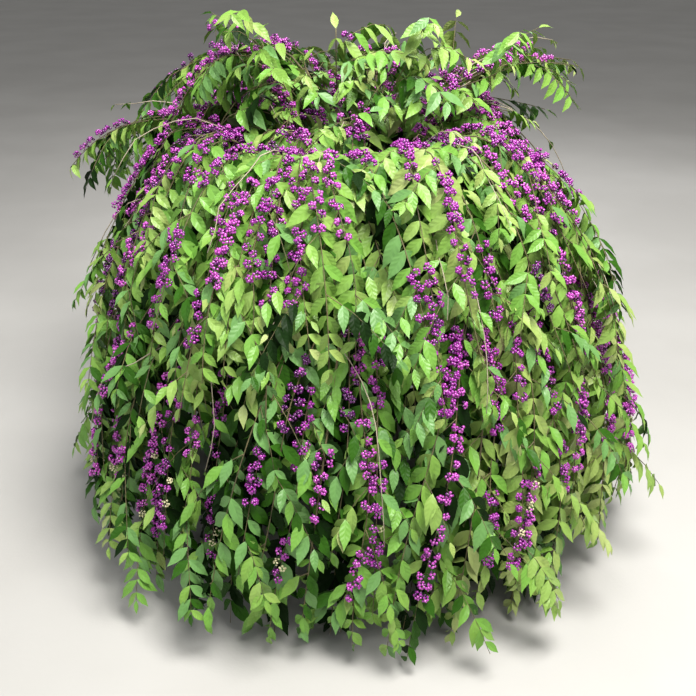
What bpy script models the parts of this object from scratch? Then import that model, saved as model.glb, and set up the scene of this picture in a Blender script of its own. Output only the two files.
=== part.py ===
"""A purple beautyberry shrub in fruit, as it stands rooted in a bed.

Canes rise from one low stool, arch over and weep outwards to the ground. The bare lower stretch of each
cane is a bough, and the leafy stretch beyond it is a spray: a leader with strands beside it, leaves in
opposite pairs and a cluster of berries over some of the pairs. A spray keeps to the space that lies nearer
to its own leader than to any other. The skirt hangs to the ground, the dome rounds off the top, and single
arms and shoots stand clear of it.
"""

import math
import random
from collections import namedtuple

import bmesh
import bpy
import numpy as np
from mathutils import Matrix

# The whole plant. Lengths are in metres. Azimuths are in degrees, from +X towards +Y, and the front is -Y.
CROWN_RADIUS = 0.77
FRONT_LEAN = 0.13
FRONT_LEAN_AZIMUTH = 290.0
OVAL = 0.05
OVAL_AZIMUTH = 280.0
GAP = 0.0003

# The stool that carries the canes: its turned outline, as (radius, height), from its crown to the ground.
STOOL_OUTLINE = (
    (0.0, 0.125),
    (0.040, 0.122),
    (0.070, 0.113),
    (0.090, 0.092),
    (0.098, 0.045),
    (0.112, 0.018),
    (0.132, 0.0),
    (0.0, 0.0),
)
STOOL_SIDES = 16

# Canes. A foot height inside the stool is where their lines start.
FOOT_HEIGHT = 0.05
PATH_POINTS = 61
BOUGH_POINTS = 6
BOUGH_SIDES = 5
BOUGH_END = 0.012
SPRAY_START_RADIUS = 0.0050
SPRAY_END_RADIUS = 0.0024
SPRAY_POINTS = 6
TWIG_SIDES = 3
STRAND_START_RADIUS = 0.0028
STRAND_END_RADIUS = 0.0022
STRAND_POINTS = 4
STRAND_FIRST = 0.04
STRAND_APART = 0.03
STRAND_SPREADS = (0.85, 1.10)
STRAND_ENDS = (0.90, 1.0)
STRAND_SAG = 0.05
STRAND_FANNING = 2.6
STRAND_TRIES = (1.0, 0.75, 0.50)
SHORTEST_STRAND = 0.15

# Leaves and fruit. Each leaf and cluster here stands for several of the real ones, so it is larger. A leaf
# that would leave its spray's space is tried again nearer to the cane, and smaller: LEAF_TRIES holds (spread,
# size). A strand that would leave it is tried again nearer to the leader: STRAND_TRIES holds the shares of
# its spread.
NODE_STEP = 0.215
FIRST_NODES = (0.04, 0.10)
LEAF_LENGTH = 0.230
LEAF_WIDTH = 0.122
LEAF_THICKNESS = 0.0066
LEAF_WIDEST_AT = 0.42
LEAF_FOLD = 0.006
LEAF_ROOT = 0.002
LEAF_APART = 0.0012
LEAF_TRIES = ((0.70, 1.0), (0.45, 0.90), (0.30, 0.72), (0.15, 0.56))
LEAF_FORWARD = 0.55
LEAF_HANG = 0.50
LEAF_SKY = 1.2
LEAF_VARIES = 0.12
LEAF_SIZES = (0.88, 1.06)
TIP_LEAF_ROOT = 0.006
TIP_LEAF_SHARE = 0.8
CLUSTER_RADIUS = 0.020
CLUSTER_RISE = 0.012
LEADER_FRUIT, STRAND_FRUIT = (1, 3), (2,)

# How far a spray keeps from another one's space, from a bough and from the ground.
NEIGHBOUR_MARGIN = 0.006
LIMB_MARGIN = 0.004
GROUND_MARGIN = 0.012
TRIES = 6
TOUCHING = 2e-7

UP = np.array([0.0, 0.0, 1.0])

Cane = namedtuple("Cane", "name start azimuth reach foot lean shoulder lift tip bare radius spreads")
Ring = namedtuple("Ring", "name count first share foot lean shoulder lift tip sweep bare radius")

# A ring is a set of like canes, evenly spaced from the first one's azimuth. share is their reach over the
# crown's, foot the radius at which they leave the stool, lean and shoulder where the arch's two handles stand
# as shares of the reach, lift the handles' height, tip the tip's height, sweep how far the cane turns about
# the plant on its way, bare the share of it that is a bough, and radius the bough's at its foot.
RINGS = (
    Ring("skirt", 10, 276.0, 1.00, 0.068, 0.18, 0.90, 1.200, 0.06, -8.0, 0.40, 0.0100),
    Ring("dome", 7, 256.0, 0.94, 0.052, 0.13, 0.62, 1.420, 0.58, 6.0, 0.34, 0.0090),
)
# The strands on both sides of a ring's leader end up this share of the way to the next leader.
STRAND_SHARE = 0.32
# The canes of the rings differ a little in azimuth, reach, lift and tip. The skirt's canes at the front right
# turn much further about the plant than the others do.
AZIMUTH_VARIES, REACH_VARIES, LIFT_VARIES, TIP_VARIES = 4.0, 0.03, 0.035, 0.04
SWEPT_RING, MORE_SWEEP, MOST_SWEPT_AT = "skirt", -18.0, 338.0

# Single arms and shoots over the dome, in order round the stool: name, azimuth, reach, shoulder, lift, tip,
# bare share and spread. Their feet are evenly spaced, and each turns to its own azimuth as it rises.
TOP_FOOT, TOP_LEAN, TOP_RADIUS, TOP_FIRST_FOOT = 0.026, 0.05, 0.0068, 22.0
TOP_CANES = (
    ("arm_right", 22.0, 0.74, 0.45, 1.34, 1.27, 0.50, 0.10),
    ("arm_back", 78.0, 0.66, 0.60, 1.45, 1.02, 0.50, 0.12),
    ("arm_left_far", 137.0, 0.80, 0.60, 1.44, 1.10, 0.50, 0.12),
    ("arm_left_low", 158.0, 0.84, 0.70, 1.24, 0.93, 0.52, 0.10),
    ("arm_left_high", 176.0, 0.50, 0.55, 1.52, 1.08, 0.52, 0.10),
    ("shoot_left", 208.0, 0.24, 0.50, 1.12, 1.39, 0.48, 0.08),
    ("shoot_middle", 266.0, 0.15, 0.50, 1.16, 1.41, 0.48, 0.08),
    ("shoot_right", 320.0, 0.26, 0.50, 1.12, 1.38, 0.48, 0.08),
    ("shoot_leaning", 356.0, 0.46, 0.45, 1.22, 1.31, 0.48, 0.09),
)
# Short canes that close the top, between the feet of the dome: name, foot azimuth, azimuth and reach.
CREST_FOOT, CREST_LEAN, CREST_SHOULDER, CREST_LIFT, CREST_TIP = 0.052, 0.08, 0.70, 1.36, 0.84
CREST_BARE, CREST_RADIUS, CREST_SPREAD = 0.44, 0.0075, 0.12
CREST_CANES = (
    ("crest_left", 230.3, 232.0, 0.42),
    ("crest_front", 281.7, 288.0, 0.34),
    ("crest_back", 76.0, 97.0, 0.42),
)


def clear_scene():
    """Remove everything that the startup file put in the scene."""
    for obj in list(bpy.data.objects):
        bpy.data.objects.remove(obj, do_unlink=True)


def new_collection(name):
    """Return a new collection linked to the scene."""
    collection = bpy.data.collections.new(name)
    bpy.context.scene.collection.children.link(collection)
    return collection


def principled(name, colour, roughness):
    """Return a plain Principled material."""
    material = bpy.data.materials.new(name)
    material.use_nodes = True
    shader = material.node_tree.nodes["Principled BSDF"]
    shader.inputs["Base Color"].default_value = (*colour, 1.0)
    shader.inputs["Roughness"].default_value = roughness
    shader.inputs["Metallic"].default_value = 0.0
    return material


def unit(vector):
    """Return the vector at length 1."""
    return vector / np.linalg.norm(vector)


def reach_at(azimuth):
    """Return the crown's radius at an azimuth: a circle, a little oval, that leans to the front right."""
    lean = FRONT_LEAN * math.cos(math.radians(azimuth - FRONT_LEAN_AZIMUTH))
    oval = OVAL * math.cos(2 * math.radians(azimuth - OVAL_AZIMUTH))
    return CROWN_RADIUS * (1 + lean + oval)


def ring_canes(ring):
    """Return the canes of a ring, each a little different from its neighbours."""
    canes = []
    for number in range(ring.count):
        name = f"{ring.name}_{number + 1:02d}"
        chance = random.Random(name)
        start = ring.first + number * 360.0 / ring.count + chance.uniform(-1, 1) * AZIMUTH_VARIES
        sweep = ring.sweep
        if ring.name == SWEPT_RING:
            sweep += MORE_SWEEP * max(0.0, math.cos(math.radians(start - MOST_SWEPT_AT))) ** 2
        reach = ring.share * reach_at(start + sweep) * (1 + chance.uniform(-1, 1) * REACH_VARIES)
        lift = ring.lift * (1 + chance.uniform(-1, 1) * LIFT_VARIES)
        tip = ring.tip + chance.uniform(0, 1) * TIP_VARIES
        shape = (ring.foot, ring.lean, ring.shoulder, lift, tip, ring.bare, ring.radius)
        canes.append(Cane(name, start, start + sweep, reach, *shape, None))
    return [with_spreads(canes, number) for number in range(ring.count)]


def with_spreads(canes, number):
    """Return a cane of a ring with its strands' spreads set by how far its two neighbours are."""
    cane = canes[number]
    spreads = []
    for step in (-1, 1):
        neighbour = canes[(number + step) % len(canes)]
        turn = (neighbour.azimuth - cane.azimuth) * step % 360.0
        spreads.append(STRAND_SHARE * math.radians(turn) * cane.reach)
    return cane._replace(spreads=tuple(spreads))


def all_canes():
    """Return every cane of the plant, rings first."""
    canes = [cane for ring in RINGS for cane in ring_canes(ring)]
    for rank, (name, azimuth, reach, shoulder, lift, tip, bare, spread) in enumerate(TOP_CANES):
        start = TOP_FIRST_FOOT + rank * 360.0 / len(TOP_CANES)
        shape = (TOP_FOOT, TOP_LEAN, shoulder, lift, tip, bare, TOP_RADIUS)
        canes.append(Cane(name, start, azimuth, reach, *shape, (spread, spread)))
    for name, start, azimuth, reach in CREST_CANES:
        shape = (CREST_FOOT, CREST_LEAN, CREST_SHOULDER, CREST_LIFT, CREST_TIP, CREST_BARE, CREST_RADIUS)
        canes.append(Cane(name, start, azimuth, reach, *shape, (CREST_SPREAD, CREST_SPREAD)))
    return canes


def evenly_spaced(line, count):
    """Return count points at equal distances along a line."""
    steps = np.linalg.norm(np.diff(line, axis=0), axis=1)
    along = np.concatenate([[0.0], np.cumsum(steps)])
    wanted = np.linspace(0.0, along[-1], count)
    return np.stack([np.interp(wanted, along, line[:, axis]) for axis in range(3)], axis=1)


def length_of(line):
    """Return the length of a line."""
    return float(np.linalg.norm(np.diff(line, axis=0), axis=1).sum())


def arch(cane):
    """Return the centre line of a cane: a cubic arch from inside the stool to the tip."""
    t = np.linspace(0.0, 1.0, 4 * PATH_POINTS)
    weights = ((1 - t) ** 3, 3 * t * (1 - t) ** 2, 3 * t**2 * (1 - t), t**3)
    radii = (cane.foot, cane.foot / 2 + cane.lean * cane.reach, cane.shoulder * cane.reach, cane.reach)
    heights = (FOOT_HEIGHT, cane.lift, cane.lift, cane.tip)
    radius = sum(weight * r for weight, r in zip(weights, radii))
    height = sum(weight * h for weight, h in zip(weights, heights))
    angle = np.radians(cane.start + (cane.azimuth - cane.start) * t**2)
    line = np.stack([radius * np.cos(angle), radius * np.sin(angle), height], axis=1)
    return evenly_spaced(line, PATH_POINTS)


def distances(points, line):
    """Return the distance from each point to the nearest point of a line."""
    return np.linalg.norm(points[:, None] - line[None], axis=2).min(axis=1)


class Space:
    """The room of one spray, clear of the other leaders' shares of the crown, the boughs and the ground."""

    def __init__(self, own, leaders, boughs):
        self.own = leaders[own]
        self.others = np.concatenate([line for name, line in leaders.items() if name != own])
        self.limbs = np.concatenate([line for line, _ in boughs.values()])
        self.limb_radii = np.concatenate([np.full(len(line), radius) for line, radius in boughs.values()])

    def holds(self, points):
        """Tell whether all the points lie in this room."""
        if points[:, 2].min() < GROUND_MARGIN:
            return False
        if (distances(points, self.own) + NEIGHBOUR_MARGIN > distances(points, self.others)).any():
            return False
        gaps = np.linalg.norm(points[:, None] - self.limbs[None], axis=2) - self.limb_radii
        return bool(gaps.min() > LIMB_MARGIN)


def cut_to_space(line, space):
    """Return the line up to where it first leaves the space."""
    inside = 1
    while inside < len(line) and space.holds(line[inside : inside + 1]):
        inside += 1
    return line[:inside]


def turned_about_plant(line, angles):
    """Return a line with each point turned about the plant's axis by its own angle, in radians."""
    x, y, z = line.T
    cosines, sines = np.cos(angles), np.sin(angles)
    return np.stack([x * cosines - y * sines, x * sines + y * cosines, z], axis=1)


def strand_lines(cane, leader, space, chance):
    """Return the (line, side) of the strands that leave a leader near its start and turn away from it."""
    lines = []
    shares = np.linspace(0.0, 1.0, len(leader))
    grown = np.linspace(0.0, 1.0, PATH_POINTS)
    fanned = 1 - (1 - grown) ** STRAND_FANNING
    for number, side in enumerate((-1, 1)):
        first = STRAND_FIRST + number * STRAND_APART
        turn = side * cane.spreads[number] * chance.uniform(*STRAND_SPREADS) / cane.reach
        sag = chance.uniform(0.0, STRAND_SAG)
        along = first + (chance.uniform(*STRAND_ENDS) - first) * grown
        line = np.stack([np.interp(along, shares, leader[:, axis]) for axis in range(3)], axis=1)
        line -= np.outer(sag * grown**2, UP)
        tried = [turned_about_plant(line, share * turn * fanned) for share in STRAND_TRIES]
        longest = max((cut_to_space(one, space) for one in tried), key=length_of)
        if length_of(longest) > SHORTEST_STRAND:
            lines.append((longest, side))
    return lines


def without_tip(line, points):
    """Return a line as a few evenly spaced points, shorter by most of the leaf that will stand at its tip."""
    whole = length_of(line)
    kept = max(2, round(len(line) * (1 - TIP_LEAF_SHARE * LEAF_LENGTH / whole)))
    return evenly_spaced(line[:kept], points)


def leaf_frame(tangent, side, spread, outward, chance):
    """Return a leaf's width, normal and length directions, beside a cane or, with side 0, at its tip."""
    flat = unit(np.array([tangent[0], tangent[1], 1e-6]))
    across = side * unit(np.cross(UP, flat))
    hang = LEAF_HANG if side else 0.0
    length = unit(spread * across + LEAF_FORWARD * tangent - hang * UP)
    length = unit(length + LEAF_VARIES * np.array([chance.uniform(-1, 1) for _ in range(3)]))
    normal = outward + LEAF_SKY * UP
    normal = unit(normal - (normal @ length) * length)
    return np.cross(normal, length), normal, length


def placed(x_axis, y_axis, z_axis, origin):
    """Return the matrix that takes a template's X, Y and Z to these directions, at this origin."""
    columns = np.stack([x_axis, y_axis, z_axis, origin], axis=1)
    return Matrix([*columns.tolist(), [0.0, 0.0, 0.0, 1.0]])


def nodes_along(line, step, first):
    """Return the (place, tangent) of each node of a cane, from first metres along it, a step apart."""
    length = length_of(line)
    count = int((length - first) / step) + 1
    shares = [(first + number * step) / length for number in range(count)]
    found = []
    for share in shares:
        place = min(share, 0.999) * (len(line) - 1)
        index = int(place)
        tangent = line[index + 1] - line[index]
        found.append((line[index] + tangent * (place - index), unit(tangent)))
    return found


def leaf_template(material):
    """Return a leaf of six faces: a three-sided ball drawn out along Z, with a ridge on its upper side."""
    mesh = bpy.data.meshes.new("leaf")
    shape = bmesh.new()
    bmesh.ops.create_uvsphere(shape, u_segments=3, v_segments=2, radius=1.0)
    root, *ring, tip = sorted(shape.verts, key=lambda vert: vert.co.z)
    root.co = (0.0, 0.0, -LEAF_ROOT)
    tip.co = (0.0, 0.0, LEAF_LENGTH)
    outline = ((-LEAF_WIDTH / 2, -LEAF_FOLD), (LEAF_WIDTH / 2, -LEAF_FOLD), (0.0, LEAF_THICKNESS))
    for vert, (x, y) in zip(ring, outline):
        vert.co = (x, y, LEAF_WIDEST_AT * LEAF_LENGTH)
    bmesh.ops.recalc_face_normals(shape, faces=shape.faces)
    shape.to_mesh(mesh)
    shape.free()
    mesh.materials.append(material)
    return mesh


def cluster_template(material):
    """Return a cluster of berries as a ball of twenty faces."""
    mesh = bpy.data.meshes.new("cluster")
    shape = bmesh.new()
    bmesh.ops.create_icosphere(shape, subdivisions=1, radius=CLUSTER_RADIUS)
    shape.to_mesh(mesh)
    shape.free()
    mesh.materials.append(material)
    return mesh


def template_points(mesh, matrix):
    """Return points spread over a placed template: its corners, and three on each edge between them."""
    corners = np.array([matrix @ vert.co for vert in mesh.vertices])
    ends = np.array([edge.vertices[:] for edge in mesh.edges])
    first, second = corners[ends[:, 0]], corners[ends[:, 1]]
    between = [first + (second - first) * share for share in (0.25, 0.5, 0.75)]
    return np.concatenate([corners, *between])


def tube(name, line, radii, section, material, collection):
    """Return a closed tapering tube along a line, as a mesh with the section's outline."""
    curve = bpy.data.curves.new(name, "CURVE")
    curve.dimensions = "3D"
    curve.use_fill_caps = True
    curve.bevel_mode = "OBJECT"
    curve.bevel_object = section
    spline = curve.splines.new("POLY")
    spline.points.add(len(line) - 1)
    for point, place, radius in zip(spline.points, line, radii):
        point.co = (*place, 1.0)
        point.radius = radius
    guide = bpy.data.objects.new(name + "_guide", curve)
    collection.objects.link(guide)
    bpy.context.view_layer.update()
    graph = bpy.context.evaluated_depsgraph_get()
    mesh = bpy.data.meshes.new_from_object(guide.evaluated_get(graph))
    bpy.data.objects.remove(guide)
    bpy.data.curves.remove(curve)
    shape = bmesh.new()
    shape.from_mesh(mesh)
    bmesh.ops.remove_doubles(shape, verts=shape.verts, dist=1e-5)
    bmesh.ops.recalc_face_normals(shape, faces=shape.faces)
    shape.to_mesh(mesh)
    shape.free()
    mesh.materials.clear()
    mesh.materials.append(material)
    made = bpy.data.objects.new(name, mesh)
    collection.objects.link(made)
    return made


def tube_section(name, sides, collection):
    """Return the outline that gives a tube this many sides."""
    curve = bpy.data.curves.new(name, "CURVE")
    curve.dimensions = "2D"
    spline = curve.splines.new("POLY")
    spline.points.add(sides - 1)
    spline.use_cyclic_u = True
    for number, point in enumerate(spline.points):
        angle = math.radians(90 - 360 * number / sides)
        point.co = (math.cos(angle), math.sin(angle), 0.0, 1.0)
    section = bpy.data.objects.new(name, curve)
    section.hide_render = True
    section.display_type = "WIRE"
    collection.objects.link(section)
    return section


def turned(name, outline, collection):
    """Return an object turned about Z from an outline of (radius, height)."""
    mesh = bpy.data.meshes.new(name)
    places = [(radius, 0.0, height) for radius, height in outline]
    mesh.from_pydata(places, [(i, i + 1) for i in range(len(places) - 1)], [])
    obj = bpy.data.objects.new(name, mesh)
    collection.objects.link(obj)
    screw = obj.modifiers.new("Turn", "SCREW")
    screw.steps = screw.render_steps = STOOL_SIDES
    screw.use_merge_vertices = True
    screw.merge_threshold = 0.0001
    return obj


def evaluated_mesh(obj):
    """Return a new mesh of the object as its modifiers leave it."""
    bpy.context.view_layer.update()
    graph = bpy.context.evaluated_depsgraph_get()
    return bpy.data.meshes.new_from_object(obj.evaluated_get(graph))


def keep_largest_shell(mesh):
    """Leave one closed shell in a mesh: sealed hollows are filled and loose scraps are dropped."""
    shape = bmesh.new()
    shape.from_mesh(mesh)
    left = set(shape.faces)
    shells = []
    while left:
        shell, edge_of_search = set(), [left.pop()]
        while edge_of_search:
            face = edge_of_search.pop()
            shell.add(face)
            for edge in face.edges:
                for other in edge.link_faces:
                    if other in left:
                        left.remove(other)
                        edge_of_search.append(other)
        shells.append(shell)
    shells.sort(key=lambda faces: sum(face.calc_area() for face in faces))
    for shell in shells[:-1]:
        bmesh.ops.delete(shape, geom=list(shell), context="FACES")
    shape.to_mesh(mesh)
    shape.free()


def build_stool(collection, cutters, material):
    """Build the stool, and the cutter that trims the boughs' feet a hair clear of it."""
    stool = turned("stool", STOOL_OUTLINE, collection)
    stool.data.materials.append(material)
    stool.data.shade_smooth()
    grown = [(radius + (GAP if radius else 0.0), height + GAP) for radius, height in STOOL_OUTLINE[:-1]]
    grown += [(grown[-1][0], -GAP), (0.0, -GAP)]
    cutter = turned("stool_cutter", grown, cutters)
    cutter.hide_render = True
    cutter.display_type = "WIRE"
    return cutter


def build_bough(cane, line, heading, section, collection, cutter, material):
    """Build a cane's bare stretch, its foot cut to the stool and its tip square to the spray's heading."""
    line = evenly_spaced(line, BOUGH_POINTS)
    radii = np.linspace(cane.radius, SPRAY_START_RADIUS, BOUGH_POINTS)
    line = np.insert(line, -1, line[-1] - BOUGH_END * heading, axis=0)
    radii = np.append(radii, SPRAY_START_RADIUS)
    bough = tube(f"bough_{cane.name}", line, radii, section, material, collection)
    cut = bough.modifiers.new("Foot", "BOOLEAN")
    cut.operation = "DIFFERENCE"
    cut.object = cutter
    mesh = evaluated_mesh(bough)
    bough.modifiers.clear()
    bough.data = mesh
    keep_largest_shell(mesh)
    mesh.shade_smooth()
    return bough


def add_if_held(mesh, matrix, space, collection):
    """Add a placed copy of a template to the collection, and tell if it went in without leaving the space."""
    if not space.holds(template_points(mesh, matrix)):
        return False
    copy = bpy.data.objects.new(mesh.name, mesh)
    copy.matrix_world = matrix
    collection.objects.link(copy)
    return True


def add_leaf(place, tangent, side, space, collection, leaf, chance):
    """Add a leaf beside a cane or, with side 0, at its tip, as large and as far out as the space lets it."""
    outward = unit(np.array([place[0], place[1], 0.05]))
    for spread, share in LEAF_TRIES:
        frame = leaf_frame(tangent, side, spread, outward, chance)
        size = share * chance.uniform(*LEAF_SIZES)
        matrix = placed(*(size * axis for axis in frame), place + side * LEAF_APART * tangent)
        if add_if_held(leaf, matrix, space, collection):
            return


def twig_parts(cane, leader, space, section, collection, looks, chance):
    """Build a spray's separate solids: its strands, leaves and clusters. All of them are rooted in a cane."""
    lines = [(without_tip(leader, SPRAY_POINTS), FIRST_NODES[0], (-1, 1), LEADER_FRUIT)]
    for strand, outer in strand_lines(cane, leader, space, chance):
        line = without_tip(strand, STRAND_POINTS)
        lines.append((line, FIRST_NODES[1], (outer,), STRAND_FRUIT))
        radii = np.linspace(STRAND_START_RADIUS, STRAND_END_RADIUS, STRAND_POINTS)
        tube(f"{cane.name}_strand", line, radii, section, looks["bark"], collection)
    for line, first, sides, fruit in lines:
        for index, (place, tangent) in enumerate(nodes_along(line, NODE_STEP, first)):
            for side in sides:
                add_leaf(place, tangent, side, space, collection, looks["leaf_mesh"], chance)
            if index in fruit:
                outward = unit(np.array([place[0], place[1], 0.05]))
                lift = unit(np.cross(tangent, np.cross(outward + UP, tangent)))
                matrix = placed(*np.eye(3), place + lift * CLUSTER_RISE)
                add_if_held(looks["cluster_mesh"], matrix, space, collection)
        tangent = unit(line[-1] - line[-2])
        end = line[-1] - tangent * TIP_LEAF_ROOT
        add_leaf(end, tangent, 0, space, collection, looks["leaf_mesh"], chance)


def joined(base, collection):
    """Return the union of an object with everything in a collection, as one closed mesh."""
    join = base.modifiers.new("Join", "BOOLEAN")
    join.operation = "UNION"
    join.operand_type = "COLLECTION"
    join.collection = collection
    join.solver = "EXACT"
    join.material_mode = "TRANSFER"
    mesh = evaluated_mesh(base)
    base.modifiers.clear()
    keep_largest_shell(mesh)
    return mesh


def meets_itself(mesh):
    """Tell whether a mesh has an edge where more or fewer than two of its faces meet."""
    mesh.calc_loop_triangles()
    points = np.array([vert.co[:] for vert in mesh.vertices])
    faces = np.array([triangle.vertices[:] for triangle in mesh.loop_triangles])
    index = np.unique(np.round(points / TOUCHING), axis=0, return_inverse=True)[1]
    faces = np.sort(index.reshape(-1)[faces], axis=1)
    faces = faces[(np.diff(faces, axis=1) != 0).all(axis=1)]
    ends = np.concatenate([faces[:, [0, 1]], faces[:, [1, 2]], faces[:, [0, 2]]])
    return bool((np.unique(ends, axis=0, return_counts=True)[1] != 2).any())


def build_spray(cane, leader, space, section, collection, looks):
    """Build a spray as one solid, dealt anew as long as it comes out touching itself along an edge."""
    line = without_tip(leader, SPRAY_POINTS)
    line[0] += unit(line[1] - line[0]) * GAP
    radii = np.linspace(SPRAY_START_RADIUS, SPRAY_END_RADIUS, SPRAY_POINTS)
    spray = tube(f"spray_{cane.name}", line, radii, section, looks["bark"], collection)
    for number in range(TRIES):
        rooted = new_collection(f"{cane.name}_rooted")
        twig_parts(cane, leader, space, section, rooted, looks, random.Random(f"{cane.name} {number}"))
        mesh = joined(spray, rooted)
        for obj in list(rooted.objects):
            bpy.data.objects.remove(obj, do_unlink=True)
        bpy.data.collections.remove(rooted)
        if not meets_itself(mesh):
            break
    spray.data = mesh
    return spray


def build():
    """Build the stool, and a bough and a spray for each cane."""
    clear_scene()
    shrub = new_collection("beautyberry_shrub")
    cutters = new_collection("cutters")
    bark = principled("bark", (0.20, 0.13, 0.085), 0.85)
    leaf_green = principled("leaf_green", (0.16, 0.32, 0.055), 0.6)
    berry_purple = principled("berry_purple", (0.30, 0.03, 0.32), 0.35)
    looks = {
        "bark": bark,
        "leaf_mesh": leaf_template(leaf_green),
        "cluster_mesh": cluster_template(berry_purple),
    }
    cutter = build_stool(shrub, cutters, bark)
    bough_section = tube_section("bough_section", BOUGH_SIDES, cutters)
    twig_section = tube_section("twig_section", TWIG_SIDES, cutters)
    canes = all_canes()
    lines = {cane.name: arch(cane) for cane in canes}
    ends = {cane.name: round(cane.bare * (PATH_POINTS - 1)) for cane in canes}
    leaders = {name: evenly_spaced(line[ends[name] :], PATH_POINTS) for name, line in lines.items()}
    boughs = {}
    for cane in canes:
        bough_line = evenly_spaced(lines[cane.name][: ends[cane.name] + 1], PATH_POINTS)
        boughs[cane.name] = (bough_line, cane.radius)
    for cane in canes:
        leader = leaders[cane.name]
        heading = unit(without_tip(leader, SPRAY_POINTS)[1] - leader[0])
        build_bough(cane, boughs[cane.name][0], heading, bough_section, shrub, cutter, bark)
        build_spray(cane, leader, Space(cane.name, leaders, boughs), twig_section, shrub, looks)


build()
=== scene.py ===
"""The looks of a purple beautyberry shrub in fruit, rooted in a bed.

Canes rise from one low stool, arch over and weep outwards to the ground. The limbs follow the same rule
as the part's own solids. Each spray carries that rule on to finer strands and side shoots, with leaves
in opposite pairs and paired clusters of berries. Lengths are in metres. Azimuths are in degrees, from
+X towards +Y, and the front is -Y.
"""

import logging
import math
import random
import zlib
from collections.abc import Iterator
from dataclasses import dataclass, field
from enum import Enum

import bpy
import numpy as np
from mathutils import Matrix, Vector
from mathutils.kdtree import KDTree


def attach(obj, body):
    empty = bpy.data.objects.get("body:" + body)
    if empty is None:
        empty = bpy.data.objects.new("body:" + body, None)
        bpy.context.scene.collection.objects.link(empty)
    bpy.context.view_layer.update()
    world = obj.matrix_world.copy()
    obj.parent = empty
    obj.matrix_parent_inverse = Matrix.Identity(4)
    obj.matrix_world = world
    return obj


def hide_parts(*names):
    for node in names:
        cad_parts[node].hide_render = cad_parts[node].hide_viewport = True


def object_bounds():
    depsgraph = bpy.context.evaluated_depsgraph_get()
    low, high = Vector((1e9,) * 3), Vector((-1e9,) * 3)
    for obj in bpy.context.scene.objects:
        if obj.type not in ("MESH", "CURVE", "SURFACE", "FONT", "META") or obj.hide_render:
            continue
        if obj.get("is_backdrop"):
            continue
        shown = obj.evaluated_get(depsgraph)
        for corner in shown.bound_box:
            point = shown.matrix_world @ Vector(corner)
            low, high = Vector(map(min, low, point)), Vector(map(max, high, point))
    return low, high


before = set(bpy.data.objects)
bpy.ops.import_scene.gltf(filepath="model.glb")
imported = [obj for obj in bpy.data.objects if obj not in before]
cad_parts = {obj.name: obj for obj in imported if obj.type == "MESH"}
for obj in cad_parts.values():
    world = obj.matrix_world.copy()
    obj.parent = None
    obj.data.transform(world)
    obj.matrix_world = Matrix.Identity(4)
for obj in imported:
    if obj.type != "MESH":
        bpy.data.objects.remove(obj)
CAD_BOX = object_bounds()

LOG = logging.getLogger("beautyberry")
UP = np.array([0.0, 0.0, 1.0])
# Directions that no piece points in, and a vector too small to show, so that no cross product is zero.
ASKEW = np.array([0.31, 0.27, 0.91])
UPRIGHT_ASKEW = np.array([0.3, 0.1, 1.0])
TINY = 1e-6
NUDGE = np.array([TINY, 0.0, 0.0])
OUTWARD_RISE = 0.05
PATH_POINTS = 61
FINE_POINTS = 4 * PATH_POINTS
TANGENT_STEP = 0.004
STEM_NUMBERS = 1 << 30
SHOOTS_A_STEM = 1000
MOST_TRIANGLES = 190_000
# Where the midrib is across a leaf, from 0 at one margin to 1 at the other.
MIDRIB = 0.5
# The turn from one point to the next that spreads points evenly over a ball.
GOLDEN_TURN = math.pi * (1 + math.sqrt(5))

Colour = tuple[float, float, float]
Place = tuple[float, float, float]
Span = tuple[float, float]


def unit(vectors: np.ndarray) -> np.ndarray:
    """Return the vectors, one in each row, at length 1."""
    return vectors / np.linalg.norm(vectors, axis=-1, keepdims=True)


def level(vectors: np.ndarray, rise: float) -> np.ndarray:
    """Return unit vectors that point where the given ones point in plan, and rise by this much."""
    return unit(vectors * (1.0, 1.0, 0.0) + (0.0, 0.0, rise))


def dealer(name: str) -> np.random.Generator:
    """Return a source of chance that a name always starts in the same way."""
    return np.random.default_rng(zlib.crc32(name.encode()))


def length_of(line: np.ndarray) -> float:
    """Return the length of a line."""
    return float(np.linalg.norm(np.diff(line, axis=0), axis=1).sum())


def evenly_spaced(line: np.ndarray, count: int) -> np.ndarray:
    """Return points at equal distances along a line.

    Args:
        line: The line's points, one in each row.
        count: How many points to return.

    Returns:
        The new points, from the line's start to its end.
    """
    along = distances_along(line)
    return at_distances(line, along, np.linspace(0.0, along[-1], count))


def distances_along(line: np.ndarray) -> np.ndarray:
    """Return how far along a line each of its points is."""
    steps = np.linalg.norm(np.diff(line, axis=0), axis=1)
    return np.concatenate([[0.0], np.cumsum(steps)])


def at_distances(line: np.ndarray, along: np.ndarray, wanted: np.ndarray) -> np.ndarray:
    """Return the points of a line at the wanted distances, given those of its own points."""
    return np.stack([np.interp(wanted, along, line[:, axis]) for axis in range(3)], axis=1)


def ring_angles(sides: int) -> np.ndarray:
    """Return the angles of the corners of a ring with this many sides."""
    return np.linspace(0.0, 2 * math.pi, sides, endpoint=False)


def flat_ring(sides: int) -> np.ndarray:
    """Return the corners of a flat ring 1 in radius, square to Z."""
    angles = ring_angles(sides)
    return np.stack([np.cos(angles), np.sin(angles), 0 * angles], axis=1)


def framed(directions: np.ndarray) -> np.ndarray:
    """Return for each direction an X, a Y and that direction as Z, one in each row."""
    first = unit(np.cross(directions, ASKEW))
    return np.stack([first, np.cross(directions, first), directions], axis=1)


def turned_about_plant(line: np.ndarray, angles: np.ndarray) -> np.ndarray:
    """Return a line with each point turned about the plant's axis by its own angle, in radians."""
    x, y, z = line.T
    cosine, sine = np.cos(angles), np.sin(angles)
    return np.stack([x * cosine - y * sine, x * sine + y * cosine, z], axis=1)


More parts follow.
